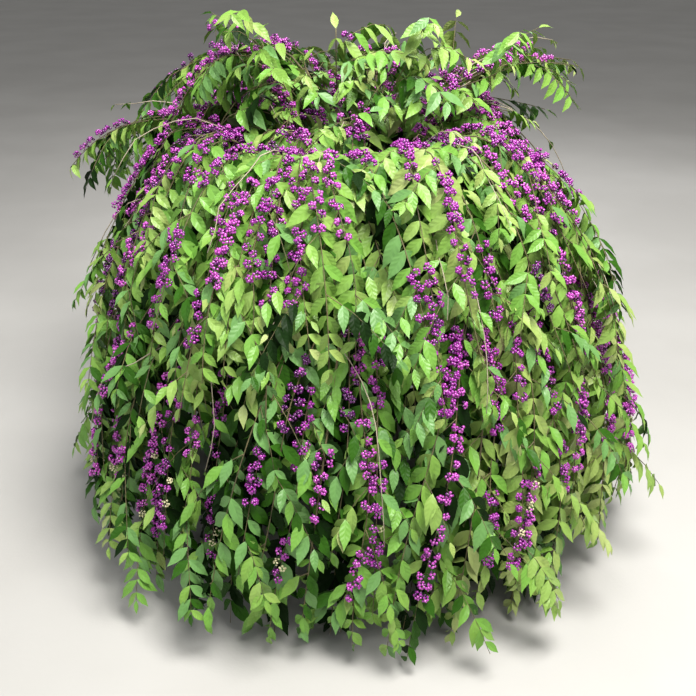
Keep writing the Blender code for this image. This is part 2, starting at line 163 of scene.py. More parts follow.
def nearest(points: np.ndarray, line: np.ndarray, radii: np.ndarray | float = 0.0) -> np.ndarray:
    """Measure how far points are from the nearest of a line's points.

    Args:
        points: The points to measure from, one in each row.
        line: The points to measure to, one in each row.
        radii: The thickness round each point of the line, which is taken off.

    Returns:
        The distance of each point.
    """
    squares = (points**2).sum(axis=1)[:, None] + (line**2).sum(axis=1)[None] - 2 * points @ line.T
    return (np.sqrt(np.maximum(squares, 0.0)) - radii).min(axis=1)


# The canes.


@dataclass(frozen=True)
class Crown:
    """The crown's outline in plan: a circle that leans to the front right and is a little oval."""

    radius: float = 0.77
    lean: float = 0.13
    lean_azimuth: float = 290.0
    oval: float = 0.05
    oval_azimuth: float = 280.0

    def reach_at(self, azimuth: float) -> float:
        """Return the crown's radius at an azimuth."""
        lean = self.lean * math.cos(math.radians(azimuth - self.lean_azimuth))
        oval = self.oval * math.cos(2 * math.radians(azimuth - self.oval_azimuth))
        return self.radius * (1 + lean + oval)


@dataclass(frozen=True)
class Cane:
    """One cane, from its foot in the stool to its tip.

    It leaves the stool at the start azimuth and turns to its own azimuth on its way. Lean and shoulder
    are where the arch's two handles stand as shares of the reach, lift their height, and tip the tip's
    height. The bare share of it is a bough, room is how far its strands may spread on each side, and
    low how far the lowest hang under it. A free cane stands out over the mound, in the light from all
    sides.
    """

    name: str
    start: float
    azimuth: float
    reach: float
    foot: float
    lean: float
    shoulder: float
    lift: float
    tip: float
    bare: float
    radius: float
    room: Span
    low: float = 0.17
    free: bool = False
    foot_height: float = 0.05

    def arch(self) -> np.ndarray:
        """Return the centre line: a cubic arch from inside the stool to the tip."""
        t = np.linspace(0.0, 1.0, FINE_POINTS)
        weights = ((1 - t) ** 3, 3 * t * (1 - t) ** 2, 3 * t**2 * (1 - t), t**3)
        handle = self.foot / 2 + self.lean * self.reach
        radii = (self.foot, handle, self.shoulder * self.reach, self.reach)
        heights = (self.foot_height, self.lift, self.lift, self.tip)
        radius = sum(weight * r for weight, r in zip(weights, radii))
        height = sum(weight * h for weight, h in zip(weights, heights))
        angle = np.radians(self.start + (self.azimuth - self.start) * t**2)
        line = np.stack([radius * np.cos(angle), radius * np.sin(angle), height], axis=1)
        return evenly_spaced(line, PATH_POINTS)

    def bough_line(self) -> np.ndarray:
        """Return the centre line of the bare stretch."""
        return evenly_spaced(self.arch()[: round(self.bare * (PATH_POINTS - 1)) + 1], PATH_POINTS)

    def leader_line(self) -> np.ndarray:
        """Return the centre line of the leafy stretch."""
        return evenly_spaced(self.arch()[round(self.bare * (PATH_POINTS - 1)) :], PATH_POINTS)


@dataclass(frozen=True)
class Ring:
    """A set of like canes, evenly spaced from the first one's azimuth, each a little different."""

    name: str
    count: int
    first: float
    share: float
    foot: float
    lean: float
    shoulder: float
    lift: float
    tip: float
    sweep: float
    bare: float
    radius: float
    more_sweep: float = 0.0
    most_swept_at: float = 338.0
    azimuth_varies: float = 4.0
    reach_varies: float = 0.03
    lift_varies: float = 0.035
    tip_varies: float = 0.04
    room_share: float = 0.50

    def canes(self, crown: Crown) -> list[Cane]:
        """Return the ring's canes.

        Args:
            crown: The outline that the canes reach to.

        Returns:
            The canes in order round the plant.
        """
        drawn = []
        for number in range(self.count):
            name = f"{self.name}_{number + 1:02d}"
            chance = random.Random(name)
            start = self.first + number * 360.0 / self.count
            start += chance.uniform(-1, 1) * self.azimuth_varies
            turned = max(0.0, math.cos(math.radians(start - self.most_swept_at))) ** 2
            azimuth = start + self.sweep + self.more_sweep * turned
            reach = self.share * crown.reach_at(azimuth)
            reach *= 1 + chance.uniform(-1, 1) * self.reach_varies
            lift = self.lift * (1 + chance.uniform(-1, 1) * self.lift_varies)
            tip = self.tip + chance.uniform(0, 1) * self.tip_varies
            drawn.append((name, start, azimuth, reach, lift, tip))
        return [self.cane(drawn, number) for number in range(self.count)]

    def cane(self, drawn: list[tuple], number: int) -> Cane:
        """Return one of the drawn canes, with room on each side as far as its neighbours leave it."""
        name, start, azimuth, reach, lift, tip = drawn[number]
        room = []
        for step in (-1, 1):
            turn = (drawn[(number + step) % self.count][2] - azimuth) * step % 360.0
            room.append(self.room_share * math.radians(turn) * reach)
        shape = (self.foot, self.lean, self.shoulder, lift, tip, self.bare, self.radius)
        return Cane(name, start, azimuth, reach, *shape, tuple(room))


@dataclass(frozen=True)
class CanePlan:
    """All canes: two rings, single arms and shoots over them, and short canes that close the top."""

    crown: Crown = Crown()
    rings: tuple[Ring, ...] = (
        Ring(
            name="skirt",
            count=10,
            first=276.0,
            share=1.00,
            foot=0.068,
            lean=0.18,
            shoulder=0.90,
            lift=1.200,
            tip=0.06,
            sweep=-8.0,
            bare=0.40,
            radius=0.0100,
            more_sweep=-18.0,
        ),
        Ring(
            name="dome",
            count=7,
            first=256.0,
            share=0.94,
            foot=0.052,
            lean=0.13,
            shoulder=0.62,
            lift=1.420,
            tip=0.58,
            sweep=6.0,
            bare=0.34,
            radius=0.0090,
        ),
    )
    # Name, azimuth, reach, shoulder, lift, tip, bare share and spread of the strands.
    tops: tuple[tuple, ...] = (
        ("arm_right", 22.0, 0.74, 0.45, 1.34, 1.27, 0.50, 0.10),
        ("arm_back", 78.0, 0.66, 0.60, 1.45, 1.02, 0.50, 0.12),
        ("arm_left_far", 137.0, 0.80, 0.60, 1.44, 1.10, 0.50, 0.12),
        ("arm_left_low", 158.0, 0.84, 0.70, 1.24, 0.93, 0.52, 0.10),
        ("arm_left_high", 176.0, 0.50, 0.55, 1.52, 1.08, 0.52, 0.10),
        ("shoot_left", 208.0, 0.24, 0.50, 1.12, 1.39, 0.48, 0.08),
        ("shoot_middle", 266.0, 0.15, 0.50, 1.16, 1.41, 0.48, 0.08),
        ("shoot_right", 320.0, 0.26, 0.50, 1.12, 1.38, 0.48, 0.08),
        ("shoot_leaning", 356.0, 0.46, 0.45, 1.22, 1.31, 0.48, 0.09),
    )
    top_foot: float = 0.026
    top_lean: float = 0.05
    top_radius: float = 0.0068
    top_first_foot: float = 22.0
    # Name, foot azimuth, azimuth and reach.
    crests: tuple[tuple, ...] = (
        ("crest_left", 230.3, 232.0, 0.42),
        ("crest_front", 281.7, 288.0, 0.34),
        ("crest_back", 76.0, 97.0, 0.42),
    )
    # Foot, lean, shoulder, lift, tip, bare share and bough radius of the crest canes.
    crest_shape: tuple[float, ...] = (0.052, 0.08, 0.70, 1.36, 0.84, 0.44, 0.0075)
    crest_spread: float = 0.12
    single_room: float = 1.3
    top_low: float = 0.36

    def canes(self) -> list[Cane]:
        """Return every cane, rings first."""
        canes = [cane for ring in self.rings for cane in ring.canes(self.crown)]
        for rank, (name, azimuth, reach, shoulder, lift, tip, bare, spread) in enumerate(self.tops):
            start = self.top_first_foot + rank * 360.0 / len(self.tops)
            shape = (self.top_foot, self.top_lean, shoulder, lift, tip, bare, self.top_radius)
            room = (self.single_room * spread,) * 2
            canes.append(Cane(name, start, azimuth, reach, *shape, room, self.top_low, free=True))
        for name, start, azimuth, reach in self.crests:
            room = (self.single_room * self.crest_spread,) * 2
            canes.append(Cane(name, start, azimuth, reach, *self.crest_shape, room))
        return canes


class Space:
    """The room of one spray, clear of the boughs and the ground.

    It is nearer to its own leader than to any other one, but for an overlap in which fine twigs mingle.
    """

    overlap: float = 0.30
    limb_margin: float = 0.003
    ground_margin: float = 0.011
    box_margin: float = 0.012

    def __init__(self, own: str, leaders: dict[str, np.ndarray], canes: list[Cane]) -> None:
        """Gather what bounds the room.

        Args:
            own: The name of the spray's cane.
            leaders: The centre line of every leader, by its cane's name.
            canes: All canes of the plant.
        """
        self.leader = leaders[own]
        self.others = np.concatenate([line for name, line in leaders.items() if name != own])
        self.limbs = np.concatenate([cane.bough_line() for cane in canes])
        self.limb_radii = np.repeat([cane.radius for cane in canes], PATH_POINTS)
        self.low = np.array(CAD_BOX[0]) - self.box_margin
        self.high = np.array(CAD_BOX[1]) + self.box_margin
        self.low[2] = self.ground_margin

    def holds(self, points: np.ndarray) -> np.ndarray:
        """Tell which points lie in this room.

        Args:
            points: The points to test, one in each row.

        Returns:
            True for each point inside.
        """
        inside = ((points > self.low) & (points < self.high)).all(axis=1)
        inside &= nearest(points, self.leader) < nearest(points, self.others) + self.overlap
        return inside & (nearest(points, self.limbs, self.limb_radii) > self.limb_margin)


class FruitMap:
    """Where the clusters of berries are, so that leaves can leave them in sight."""

    depths: tuple[float, ...] = (0.005, 0.035, 0.065)
    width: float = 0.021
    slope: float = 0.6

    def __init__(self, middles: np.ndarray) -> None:
        """Sort the clusters' middles, one in each row, by their places."""
        self.tree = KDTree(len(middles))
        for number, middle in enumerate(middles):
            self.tree.insert(middle, number)
        self.tree.balance()

    def covered_by(self, points: np.ndarray) -> np.ndarray:
        """Tell which points lie over a cluster, as seen from outside the plant.

        Args:
            points: The points to test, one in each row.

        Returns:
            True for each point with a cluster right behind it.
        """
        away = unit(level(points, OUTWARD_RISE) + self.slope * UP)
        covers = np.zeros(len(points), bool)
        for depth in self.depths:
            behind = points - depth * away
            covers |= np.array([self.tree.find(place)[2] < self.width for place in behind], bool)
        return covers


# The stems of a spray.


class StemKind(Enum):
    """What a stem of a spray is."""

    LEADER = "leader"
    STRAND = "strand"
    UNDER = "strand under the others"
    SIDE = "side shoot"
    INNER = "inner shoot"
    WHIP = "bare whip"


@dataclass(frozen=True)
class Stem:
    """One leafy stem of a spray, with its radius at its start and at its tip."""

    kind: StemKind
    cane: Cane
    number: int
    line: np.ndarray
    start_radius: float
    end_radius: float
    fruits: bool = False

    @property
    def name(self) -> str:
        """Return a name that no other stem has."""
        return f"{self.cane.name} {self.kind.value} {self.number}"

    def at(self, distances: np.ndarray) -> tuple[np.ndarray, np.ndarray]:
        """Return the places and unit tangents at these distances along the stem."""
        along = distances_along(self.line)
        places = at_distances(self.line, along, distances)
        ahead = at_distances(self.line, along, np.minimum(distances + TANGENT_STEP, along[-1]))
        behind = at_distances(self.line, along, np.maximum(distances - TANGENT_STEP, 0.0))
        return places, unit(ahead - behind)


@dataclass(frozen=True)
class Way:
    """How a strand runs beside its leader.

    Spread is how far it ends up from the leader, below zero to its right. First and last are the shares
    of the leader at which it parts and ends, lift is how far it stands out over it, and sag how far its
    tip hangs.
    """

    spread: float
    first: float
    last: float
    lift: float
    sag: float


@dataclass(frozen=True)
class Grower:
    """Grows the stems of a spray: strands that part from the leader and run beside it, and side shoots.

    Starts, ends and runs are shares of the leader's length, and lifts are how far a strand stands out
    over it.
    """

    leader_radii: Span = (0.0046, 0.0012)
    shortest: float = 0.10
    strand_apart: float = 0.055
    strand_scatter: float = 0.3
    strand_rim: float = 0.2
    strand_points: int = 41
    fewest_points: int = 3
    strand_radii: Span = (0.0021, 0.0009)
    strand_starts: Span = (0.01, 0.12)
    strand_ends: Span = (0.82, 1.0)
    inmost_start: float = 0.32
    inmost_varies: Span = (0.3, 1.0)
    strand_sag: float = 0.05
    strand_lift: Span = (-0.075, -0.025)
    fruiting_lift: Span = (-0.005, 0.045)
    fruiting_share: float = 0.82
    fanning: float = 2.6
    lift_slope: float = 0.6
    wave: float = 0.009
    wave_counts: Span = (0.7, 2.2)
    wave_ease: float = 4.0
    under_area: float = 0.0135
    under_spread: Span = (0.1, 1.2)
    under_starts: Span = (0.0, 0.25)
    under_lift: float = -0.07
    under_sag: float = 0.07
    whips: int = 2
    whip_starts: Span = (0.0, 0.45)
    whip_runs: Span = (0.22, 0.42)
    whip_lift: Span = (0.055, 0.105)
    whip_radii: Span = (0.0017, 0.0010)
    side_apart: float = 0.16
    side_scatter: Span = (0.2, 0.8)
    side_rim: float = 0.4
    side_lengths: Span = (0.09, 0.21)
    side_points: int = 13
    rooted_points: int = 2
    side_radii: Span = (0.0012, 0.0007)
    side_spread: Span = (0.5, 0.9)
    side_forward: float = 0.55
    side_rise: Span = (-0.15, 0.25)
    side_droop: Span = (0.30, 0.75)
    inner_apart: float = 0.055
    inner_fruiting: float = 0.32
    inner_from: float = 0.85
    inner_radius: float = 0.44
    inner_lengths: Span = (0.12, 0.26)
    inner_rise: Span = (0.5, 1.7)
    inner_droop: Span = (0.25, 0.70)

    def stems(self, cane: Cane, space: Space) -> list[Stem]:
        """Grow the stems of a cane's spray.

        Args:
            cane: The cane that carries the spray.
            space: The room that the spray keeps to.

        Returns:
            The leader first, then its strands and the side shoots.
        """
        chance = dealer(f"{cane.name} stems")
        stems = [Stem(StemKind.LEADER, cane, 0, space.leader, *self.leader_radii, fruits=True)]
        for side, room in zip((-1, 1), cane.room):
            count = max(1, int(room / self.strand_apart))
            for rank in range(1, count + 1):
                scattered = chance.uniform(-self.strand_scatter, self.strand_scatter)
                spread = room * (rank + scattered) / (count + self.strand_rim)
                first = chance.uniform(*self.strand_starts)
                first += self.inmost_start * (1 - rank / count) * chance.uniform(*self.inmost_varies)
                fruits = chance.uniform() < self.fruiting_share
                lift = chance.uniform(*(self.fruiting_lift if fruits else self.strand_lift))
                sag = chance.uniform(0.0, self.strand_sag)
                way = Way(side * spread, first, chance.uniform(*self.strand_ends), lift, sag)
                stems += self.strand(StemKind.STRAND, cane, space, way, fruits, chance)
            for _ in range(max(1, round(room * cane.low / self.under_area))):
                spread = room * chance.uniform(*self.under_spread)
                sag = chance.uniform(self.under_sag, cane.low)
                first = chance.uniform(*self.under_starts)
                last = chance.uniform(*self.strand_ends)
                way = Way(side * spread, first, last, self.under_lift, sag)
                stems += self.strand(StemKind.UNDER, cane, space, way, False, chance)
        parents = [stem for stem in stems if stem.kind is not StemKind.UNDER]
        for _ in range(self.whips):
            spread = chance.uniform(-1.0, 1.0) * cane.room[0]
            first = chance.uniform(*self.whip_starts)
            last = first + chance.uniform(*self.whip_runs)
            way = Way(spread, first, last, chance.uniform(*self.whip_lift), 0.0)
            stems += self.strand(StemKind.WHIP, cane, space, way, False, chance)
        shoots = [shoot for parent in parents for shoot in self.side_shoots(parent, space)]
        return stems + shoots + list(self.inner_shoots(cane, space))

    def strand(
        self,
        kind: StemKind,
        cane: Cane,
        space: Space,
        way: Way,
        fruits: bool,
        chance: np.random.Generator,
    ) -> list[Stem]:
        """Grow one strand beside the leader.

        Args:
            kind: Which kind of strand it is.
            cane: The cane that carries the spray.
            space: The room that the spray keeps to.
            way: How it runs beside the leader.
            fruits: Whether it bears fruit.
            chance: What deals its waves.

        Returns:
            The strand, or nothing where its room is too short.
        """
        azimuth = math.radians(cane.azimuth)
        across = np.array([-math.sin(azimuth), math.cos(azimuth), 0.0])
        away = np.array([math.cos(azimuth), math.sin(azimuth), self.lift_slope])
        grown = np.linspace(0.0, 1.0, self.strand_points)
        along = way.first + (way.last - way.first) * grown
        line = at_distances(space.leader, np.linspace(0.0, 1.0, len(space.leader)), along)
        eased = 1 - (1 - grown) ** self.fanning
        line = turned_about_plant(line, way.spread / cane.reach * eased)
        line += np.outer(way.lift * eased, away)
        line -= np.outer(way.sag * grown**2, UP)
        for direction in (across, UP):
            waves = chance.uniform(*self.wave_counts)
            phase = chance.uniform(0.0, 1.0)
            wave = np.sin(2 * math.pi * (waves * grown + phase)) * self.wave
            line += np.outer(wave * np.minimum(1.0, self.wave_ease * grown), direction)
        inside = space.holds(line)
        inside[0] = True
        kept = len(line) if inside.all() else int(np.argmin(inside))
        if kept < self.fewest_points or length_of(line[:kept]) < self.shortest:
            return []
        number = int(chance.integers(STEM_NUMBERS))
        line = evenly_spaced(line[:kept], self.strand_points)
        radii = self.whip_radii if kind is StemKind.WHIP else self.strand_radii
        return [Stem(kind, cane, number, line, *radii, fruits)]

    def side_shoots(self, parent: Stem, space: Space) -> Iterator[Stem]:
        """Grow the short shoots that leave a stem on both sides and droop.

        Args:
            parent: The stem that carries them.
            space: The room that the spray keeps to.

        Yields:
            Each side shoot that has room.
        """
        chance = dealer(f"{parent.name} side shoots")
        whole = length_of(parent.line)
        count = int(whole / self.side_apart)
        scattered = np.arange(count) + chance.uniform(*self.side_scatter, count)
        distances = whole * scattered / (count + self.side_rim)
        places, tangents = parent.at(distances)
        grown = np.linspace(0.0, 1.0, self.side_points)
        for number, (place, tangent) in enumerate(zip(places, tangents)):
            side = 1 if (number + parent.number) % 2 else -1
            across = side * unit(np.cross(UP, tangent + NUDGE))
            rising = chance.uniform(*self.side_rise) * (level(place, OUTWARD_RISE) + UP)
            sideways = chance.uniform(*self.side_spread) * across
            heading = unit(sideways + self.side_forward * tangent + rising)
            reach = chance.uniform(*self.side_lengths)
            droop = chance.uniform(*self.side_droop)
            line = place + reach * (np.outer(grown, heading) - np.outer(droop * grown**2, UP))
            if space.holds(line[self.rooted_points :]).all():
                own = number + SHOOTS_A_STEM * parent.number
                yield Stem(StemKind.SIDE, parent.cane, own, line, *self.side_radii)

    def inner_shoots(self, cane: Cane, space: Space) -> Iterator[Stem]:
        """Grow the leafy shoots that rise from a cane near the plant's axis and close the crown's top.

        Args:
            cane: The cane that carries them.
            space: The room that the spray keeps to.

        Yields:
            Each shoot that has room.
        """
        chance = dealer(f"{cane.name} inner shoots")
        arch = cane.arch()
        grown = np.linspace(0.0, 1.0, self.side_points)
        for number, place in enumerate(evenly_spaced(arch, int(length_of(arch) / self.inner_apart))):
            turn = chance.uniform(0.0, 2 * math.pi)
            heading = unit(np.array([math.cos(turn), math.sin(turn), chance.uniform(*self.inner_rise)]))
            reach = chance.uniform(*self.inner_lengths)
            fall = chance.uniform(*self.inner_droop) * reach * grown**2
            line = place + cane.radius * heading + reach * np.outer(grown, heading) - np.outer(fall, UP)
            near = place[2] > self.inner_from and math.hypot(place[0], place[1]) < self.inner_radius
            fruits = chance.uniform() < self.inner_fruiting
            if near and space.holds(line[self.rooted_points :]).all():
                yield Stem(StemKind.INNER, cane, number, line, *self.side_radii, fruits)


# The stems of each spray, with its room.
Sprays = list[tuple[list[Stem], Space]]


# Joined meshes.


@dataclass(frozen=True)
class Form:
    """A small shape that is repeated: its points, triangles, blade coordinates and crisp points."""

    points: np.ndarray
    triangles: np.ndarray
    blade: np.ndarray | None = None
    crisp: tuple[int, ...] = ()


@dataclass
class Copies:
    """Placed copies of forms that share their triangles, with each copy's X, Y and Z as its axes."""

    places: list[np.ndarray] = field(default_factory=list)
    axes: list[np.ndarray] = field(default_factory=list)
    forms: list[np.ndarray] = field(default_factory=list)
    tints: list[np.ndarray] = field(default_factory=list)

    def add(self, places: np.ndarray, axes: np.ndarray, forms: np.ndarray, tints: np.ndarray) -> None:
        """Add copies, one for each row."""
        self.places.append(places)
        self.axes.append(axes)
        self.forms.append(forms)
        self.tints.append(tints)

    def gathered(self) -> tuple[np.ndarray, ...]:
        """Return places, axes, form numbers and tint numbers of all copies."""
        return tuple(np.concatenate(rows) for rows in (self.places, self.axes, self.forms, self.tints))

    def meshes(
        self, name: str, forms: list[Form], tints: list[str]
    ) -> Iterator[tuple[bpy.types.Mesh, str]]:
        """Make joined meshes of the copies, each with one tint and under the most triangles.

        Args:
            name: What the meshes' names start with.
            forms: The forms that the form numbers count.
            tints: The names of the tints that the tint numbers count.

        Yields:
            Each mesh with the name of its tint.
        """
        places, axes, chosen, dealt = self.gathered()
        shapes = np.stack([form.points for form in forms])
        most = MOST_TRIANGLES // len(forms[0].triangles)
        for number, tint in enumerate(tints):
            rows = np.flatnonzero(dealt == number)
            parts = max(1, math.ceil(len(rows) / most))
            for part, some in enumerate(np.array_split(rows, parts)):
                if not len(some):
                    continue
                turned = np.einsum("nvk,nkc->nvc", shapes[chosen[some]], axes[some])
                suffix = f"_{part + 1}" if parts > 1 else ""
                full_name = f"{name}_{tint}{suffix}"
                yield repeated_mesh(full_name, places[some, None] + turned, forms[0]), tint


def repeated_mesh(name: str, points: np.ndarray, form: Form) -> bpy.types.Mesh:
    """Make one mesh of many copies of a form.

    Args:
        name: The mesh's name.
        points: The points of each copy, as (copy, point, 3).
        form: The form, for its triangles, blade coordinates and crisp points.

    Returns:
        The new mesh.
    """
    copies, size, _ = points.shape
    starts = np.arange(copies)[:, None, None] * size
    triangles = (starts + form.triangles[None]).reshape(-1, 3)
    mesh = mesh_of(name, points.reshape(-1, 3), triangles)
    if form.blade is not None:
        layer = mesh.uv_layers.new(name="blade")
        corners = np.tile(form.blade[form.triangles.ravel()], (copies, 1))
        layer.uv.foreach_set("vector", corners.astype(np.float32).ravel())
    if form.crisp:
        ends = np.empty(len(mesh.edges) * 2, np.int32)
        mesh.edges.foreach_get("vertices", ends)
        crisp = np.isin(ends.reshape(-1, 2) % size, form.crisp).all(axis=1)
        mesh.attributes.new("sharp_edge", "BOOLEAN", "EDGE").data.foreach_set("value", crisp)
    return mesh


def mesh_of(name: str, points: np.ndarray, triangles: np.ndarray) -> bpy.types.Mesh:
    """Return a smooth mesh made from arrays of points and triangles."""
    mesh = bpy.data.meshes.new(name)
    mesh.vertices.add(len(points))
    mesh.vertices.foreach_set("co", points.astype(np.float32).ravel())
    mesh.loops.add(3 * len(triangles))
    mesh.loops.foreach_set("vertex_index", triangles.astype(np.int32).ravel())
    mesh.polygons.add(len(triangles))
    mesh.polygons.foreach_set("loop_start", np.arange(0, 3 * len(triangles), 3, dtype=np.int32))
    mesh.update(calc_edges=True)
    mesh.shade_smooth()
    return mesh


@dataclass
class Tubes:
    """Tubes with many sides along lines, joined into one mesh."""

    sides: int
    points: list[np.ndarray] = field(default_factory=list)
    triangles: list[np.ndarray] = field(default_factory=list)
    total: int = 0

    def add(self, line: np.ndarray, radii: np.ndarray) -> None:
        """Add a tube.

        Args:
            line: The centre line's points, one in each row.
            radii: The radius at each point, or at each point and side.
        """
        first, second = frames_along(line)
        angles = ring_angles(self.sides)
        cosine, sine = np.cos(angles)[None, :, None], np.sin(angles)[None, :, None]
        rings = cosine * first[:, None] + sine * second[:, None]
        wide = radii if radii.ndim == 2 else radii[:, None]
        body = line[:, None] + rings * np.broadcast_to(wide, rings.shape[:2])[..., None]
        points = np.concatenate([body.reshape(-1, 3), line[:1], line[-1:]])
        self.triangles.append(self.total + tube_triangles(len(line), self.sides))
        self.points.append(points)
        self.total += len(points)

    def mesh(self, name: str) -> bpy.types.Mesh:
        """Return all tubes as one mesh."""
        return mesh_of(name, np.concatenate(self.points), np.concatenate(self.triangles))


def stitched(low: list[int], high: list[int]) -> Iterator[tuple[int, int, int]]:
    """Yield the triangles between two rows of points, each from left to right."""
    left, right = 0, 0
    while left + right < len(low) + len(high) - 2:
        if right == len(high) - 1 or (left + 1) * (len(high) - 1) <= (right + 1) * (len(low) - 1):
            yield low[left], high[right], low[left + 1]
            left += 1
        else:
            yield low[left], high[right], high[right + 1]
            right += 1


def tube_triangles(rings: int, sides: int) -> np.ndarray:
    """Return the triangles of a closed tube whose last two points are the middles of its ends."""
    near = np.arange((rings - 1) * sides)
    turn = np.where((near + 1) % sides, near + 1, near + 1 - sides)
    lower = np.stack([near, turn, near + sides], 1)
    upper = np.stack([turn, turn + sides, near + sides], 1)
    edge = np.arange(sides)
    after = (edge + 1) % sides
    last = (rings - 1) * sides
    foot = np.stack([np.full(sides, rings * sides), after, edge], 1)
    tip = np.stack([np.full(sides, rings * sides + 1), last + edge, last + after], 1)
    return np.concatenate([lower, upper, foot, tip])


def frames_along(line: np.ndarray) -> tuple[np.ndarray, np.ndarray]:
    """Return two directions square to a line at each of its points, with no twist between them."""
    tangents = unit(np.gradient(line, axis=0))
    across = [unit(np.cross(tangents[0], UPRIGHT_ASKEW))]
    for tangent in tangents[1:]:
        carried = across[-1] - (across[-1] @ tangent) * tangent
        across.append(unit(carried))
    first = np.array(across)
    return first, np.cross(tangents, first)


# Finishes.


class Graph:
    """A material with one shader, and short calls for what the finishes share."""

    noise_span: Span = (0.3, 0.7)
    blend_span: Span = (0.35, 0.65)

    def __init__(self, name: str) -> None:
        """Start a material with this name."""
        self.material = bpy.data.materials.new(name)
        self.material.use_nodes = True
        self.tree = self.material.node_tree
        self.shader = self.tree.nodes["Principled BSDF"]

    def node(self, kind: str, **inputs: object) -> bpy.types.Node:
        """Add a node.

        Args:
            kind: The node's type.
            inputs: What each input holds, a value or another node's output. Underscores are spaces.

        Returns:
            The new node.
        """
        node = self.tree.nodes.new(kind)
        for name, value in inputs.items():
            self.put(value, node.inputs[name.replace("_", " ")])
        return node

    def put(self, value: object, socket: bpy.types.NodeSocket) -> None:
        """Link an output to a socket, or set the socket to a value."""
        if isinstance(value, bpy.types.NodeSocket):
            self.tree.links.new(value, socket)
        else:
            socket.default_value = value

    def maths(self, operation: str, first: object, second: object = 0.0) -> bpy.types.NodeSocket:
        """Return the result of a sum on two numbers."""
        node = self.tree.nodes.new("ShaderNodeMath")
        node.operation = operation
        self.put(first, node.inputs[0])
        self.put(second, node.inputs[1])
        return node.outputs[0]

    def place(self) -> bpy.types.NodeSocket:
        """Return the point's place on the object, in metres."""
        return self.tree.nodes.new("ShaderNodeTexCoord").outputs["Object"]

    def noise(self, scale: float, detail: float = 3.0, stretch: float = 1.0) -> bpy.types.NodeSocket:
        """Return a noise from 0 to 1, with this many waves a metre, drawn out along Z."""
        shares = Vector((1.0, 1.0, 1 / stretch))
        where = self.node("ShaderNodeMapping", Vector=self.place(), Scale=shares).outputs[0]
        return self.node("ShaderNodeTexNoise", Vector=where, Scale=scale, Detail=detail).outputs["Fac"]

    def between(self, factor: bpy.types.NodeSocket, low: float, high: float) -> bpy.types.NodeSocket:
        """Return a number that goes from low to high as the factor goes through the span of a noise."""
        least, most = self.noise_span
        spans = {"From_Min": least, "From_Max": most, "To_Min": low, "To_Max": high}
        return self.node("ShaderNodeMapRange", Value=factor, **spans).outputs[0]

    def blend(self, factor: bpy.types.NodeSocket, *colours: Colour) -> bpy.types.NodeSocket:
        """Return a colour that goes from the first to the second in the middle of a noise's span."""
        ramp = self.node("ShaderNodeValToRGB", Fac=factor)
        for stop, place, colour in zip(ramp.color_ramp.elements, self.blend_span, colours):
            stop.position = place
            stop.color = (*colour, 1.0)
        return ramp.outputs[0]

    def set(self, **inputs: object) -> None:
        """Set the shader's inputs. Underscores are spaces."""
        for name, value in inputs.items():
            self.put(value, self.shader.inputs[name.replace("_", " ")])

    def raise_by(self, height: bpy.types.NodeSocket, distance: float) -> None:
        """Give the surface a relief of this height."""
        bump = self.node("ShaderNodeBump", Height=height, Distance=distance)
        self.put(bump.outputs[0], self.shader.inputs["Normal"])


@dataclass(frozen=True)
class LeafFinish:
    """One green of the leaves: a plain colour, raised between the side veins, with a soft gloss."""

    name: str
    colour: Colour
    gloss: float = 0.36
    roughness: Span = (0.34, 0.52)
    patches: float = 60.0
    vein_height: float = 0.0009
    veins: float = 6.0
    slant: float = 2.1
    half_step: float = 0.5
    midrib: float = 9.0

    def material(self) -> bpy.types.Material:
        """Return the finish as a material."""
        graph = Graph(f"leaf_{self.name}")
        graph.set(Base_Color=(*self.colour, 1.0), Specular_IOR_Level=self.gloss)
        graph.set(Roughness=graph.between(graph.noise(self.patches), *self.roughness))
        blade = graph.tree.nodes.new("ShaderNodeUVMap")
        blade.uv_map = "blade"
        split = graph.node("ShaderNodeSeparateXYZ", Vector=blade.outputs[0])
        aside = graph.maths("ABSOLUTE", graph.maths("SUBTRACT", split.outputs[0], MIDRIB))
        along = graph.maths("MULTIPLY", split.outputs[1], self.veins)
        slanted = graph.maths("SUBTRACT", along, graph.maths("MULTIPLY", aside, self.slant))
        ribs = graph.maths("PINGPONG", slanted, self.half_step)
        midrib = graph.maths("MINIMUM", graph.maths("MULTIPLY", aside, self.midrib), 1.0)
        graph.raise_by(graph.maths("MULTIPLY", ribs, midrib), self.vein_height)
        return graph.material


@dataclass(frozen=True)
class BerryFinish:
    """One colour of the fruit: a plain colour under a thin gloss, faintly uneven."""

    name: str
    colour: Colour
    roughness: Span = (0.15, 0.30)
    coat: float = 0.80
    coat_roughness: float = 0.12
    patches: float = 180.0
    grain: float = 420.0
    relief: float = 0.0003

    def material(self) -> bpy.types.Material:
        """Return the finish as a material."""
        graph = Graph(f"berry_{self.name}")
        graph.set(Base_Color=(*self.colour, 1.0))
        graph.set(Coat_Weight=self.coat, Coat_Roughness=self.coat_roughness)
        graph.set(Roughness=graph.between(graph.noise(self.patches), *self.roughness))
        graph.raise_by(graph.noise(self.grain, detail=2.0), self.relief)
        return graph.material


@dataclass(frozen=True)
class StemFinish:
    """Bark: two colours in patches and specks, and a fine relief drawn out along the stem."""

    name: str
    dark: Colour
    light: Colour
    patch: float
    grain: float
    relief: float
    roughness: Span = (0.62, 0.88)
    patch_share: float = 0.6
    stretch: float = 4.0

    def material(self) -> bpy.types.Material:
        """Return the finish as a material."""
        graph = Graph(self.name)
        patches = graph.maths("MULTIPLY", graph.noise(self.patch, detail=4.0), self.patch_share)
        grain = graph.noise(self.grain, detail=4.0, stretch=self.stretch)
        mixed = graph.maths("ADD", patches, graph.maths("MULTIPLY", grain, 1 - self.patch_share))
        graph.set(Base_Color=graph.blend(mixed, self.dark, self.light))
        graph.set(Roughness=graph.between(grain, *self.roughness))
        graph.raise_by(grain, self.relief)
        return graph.material


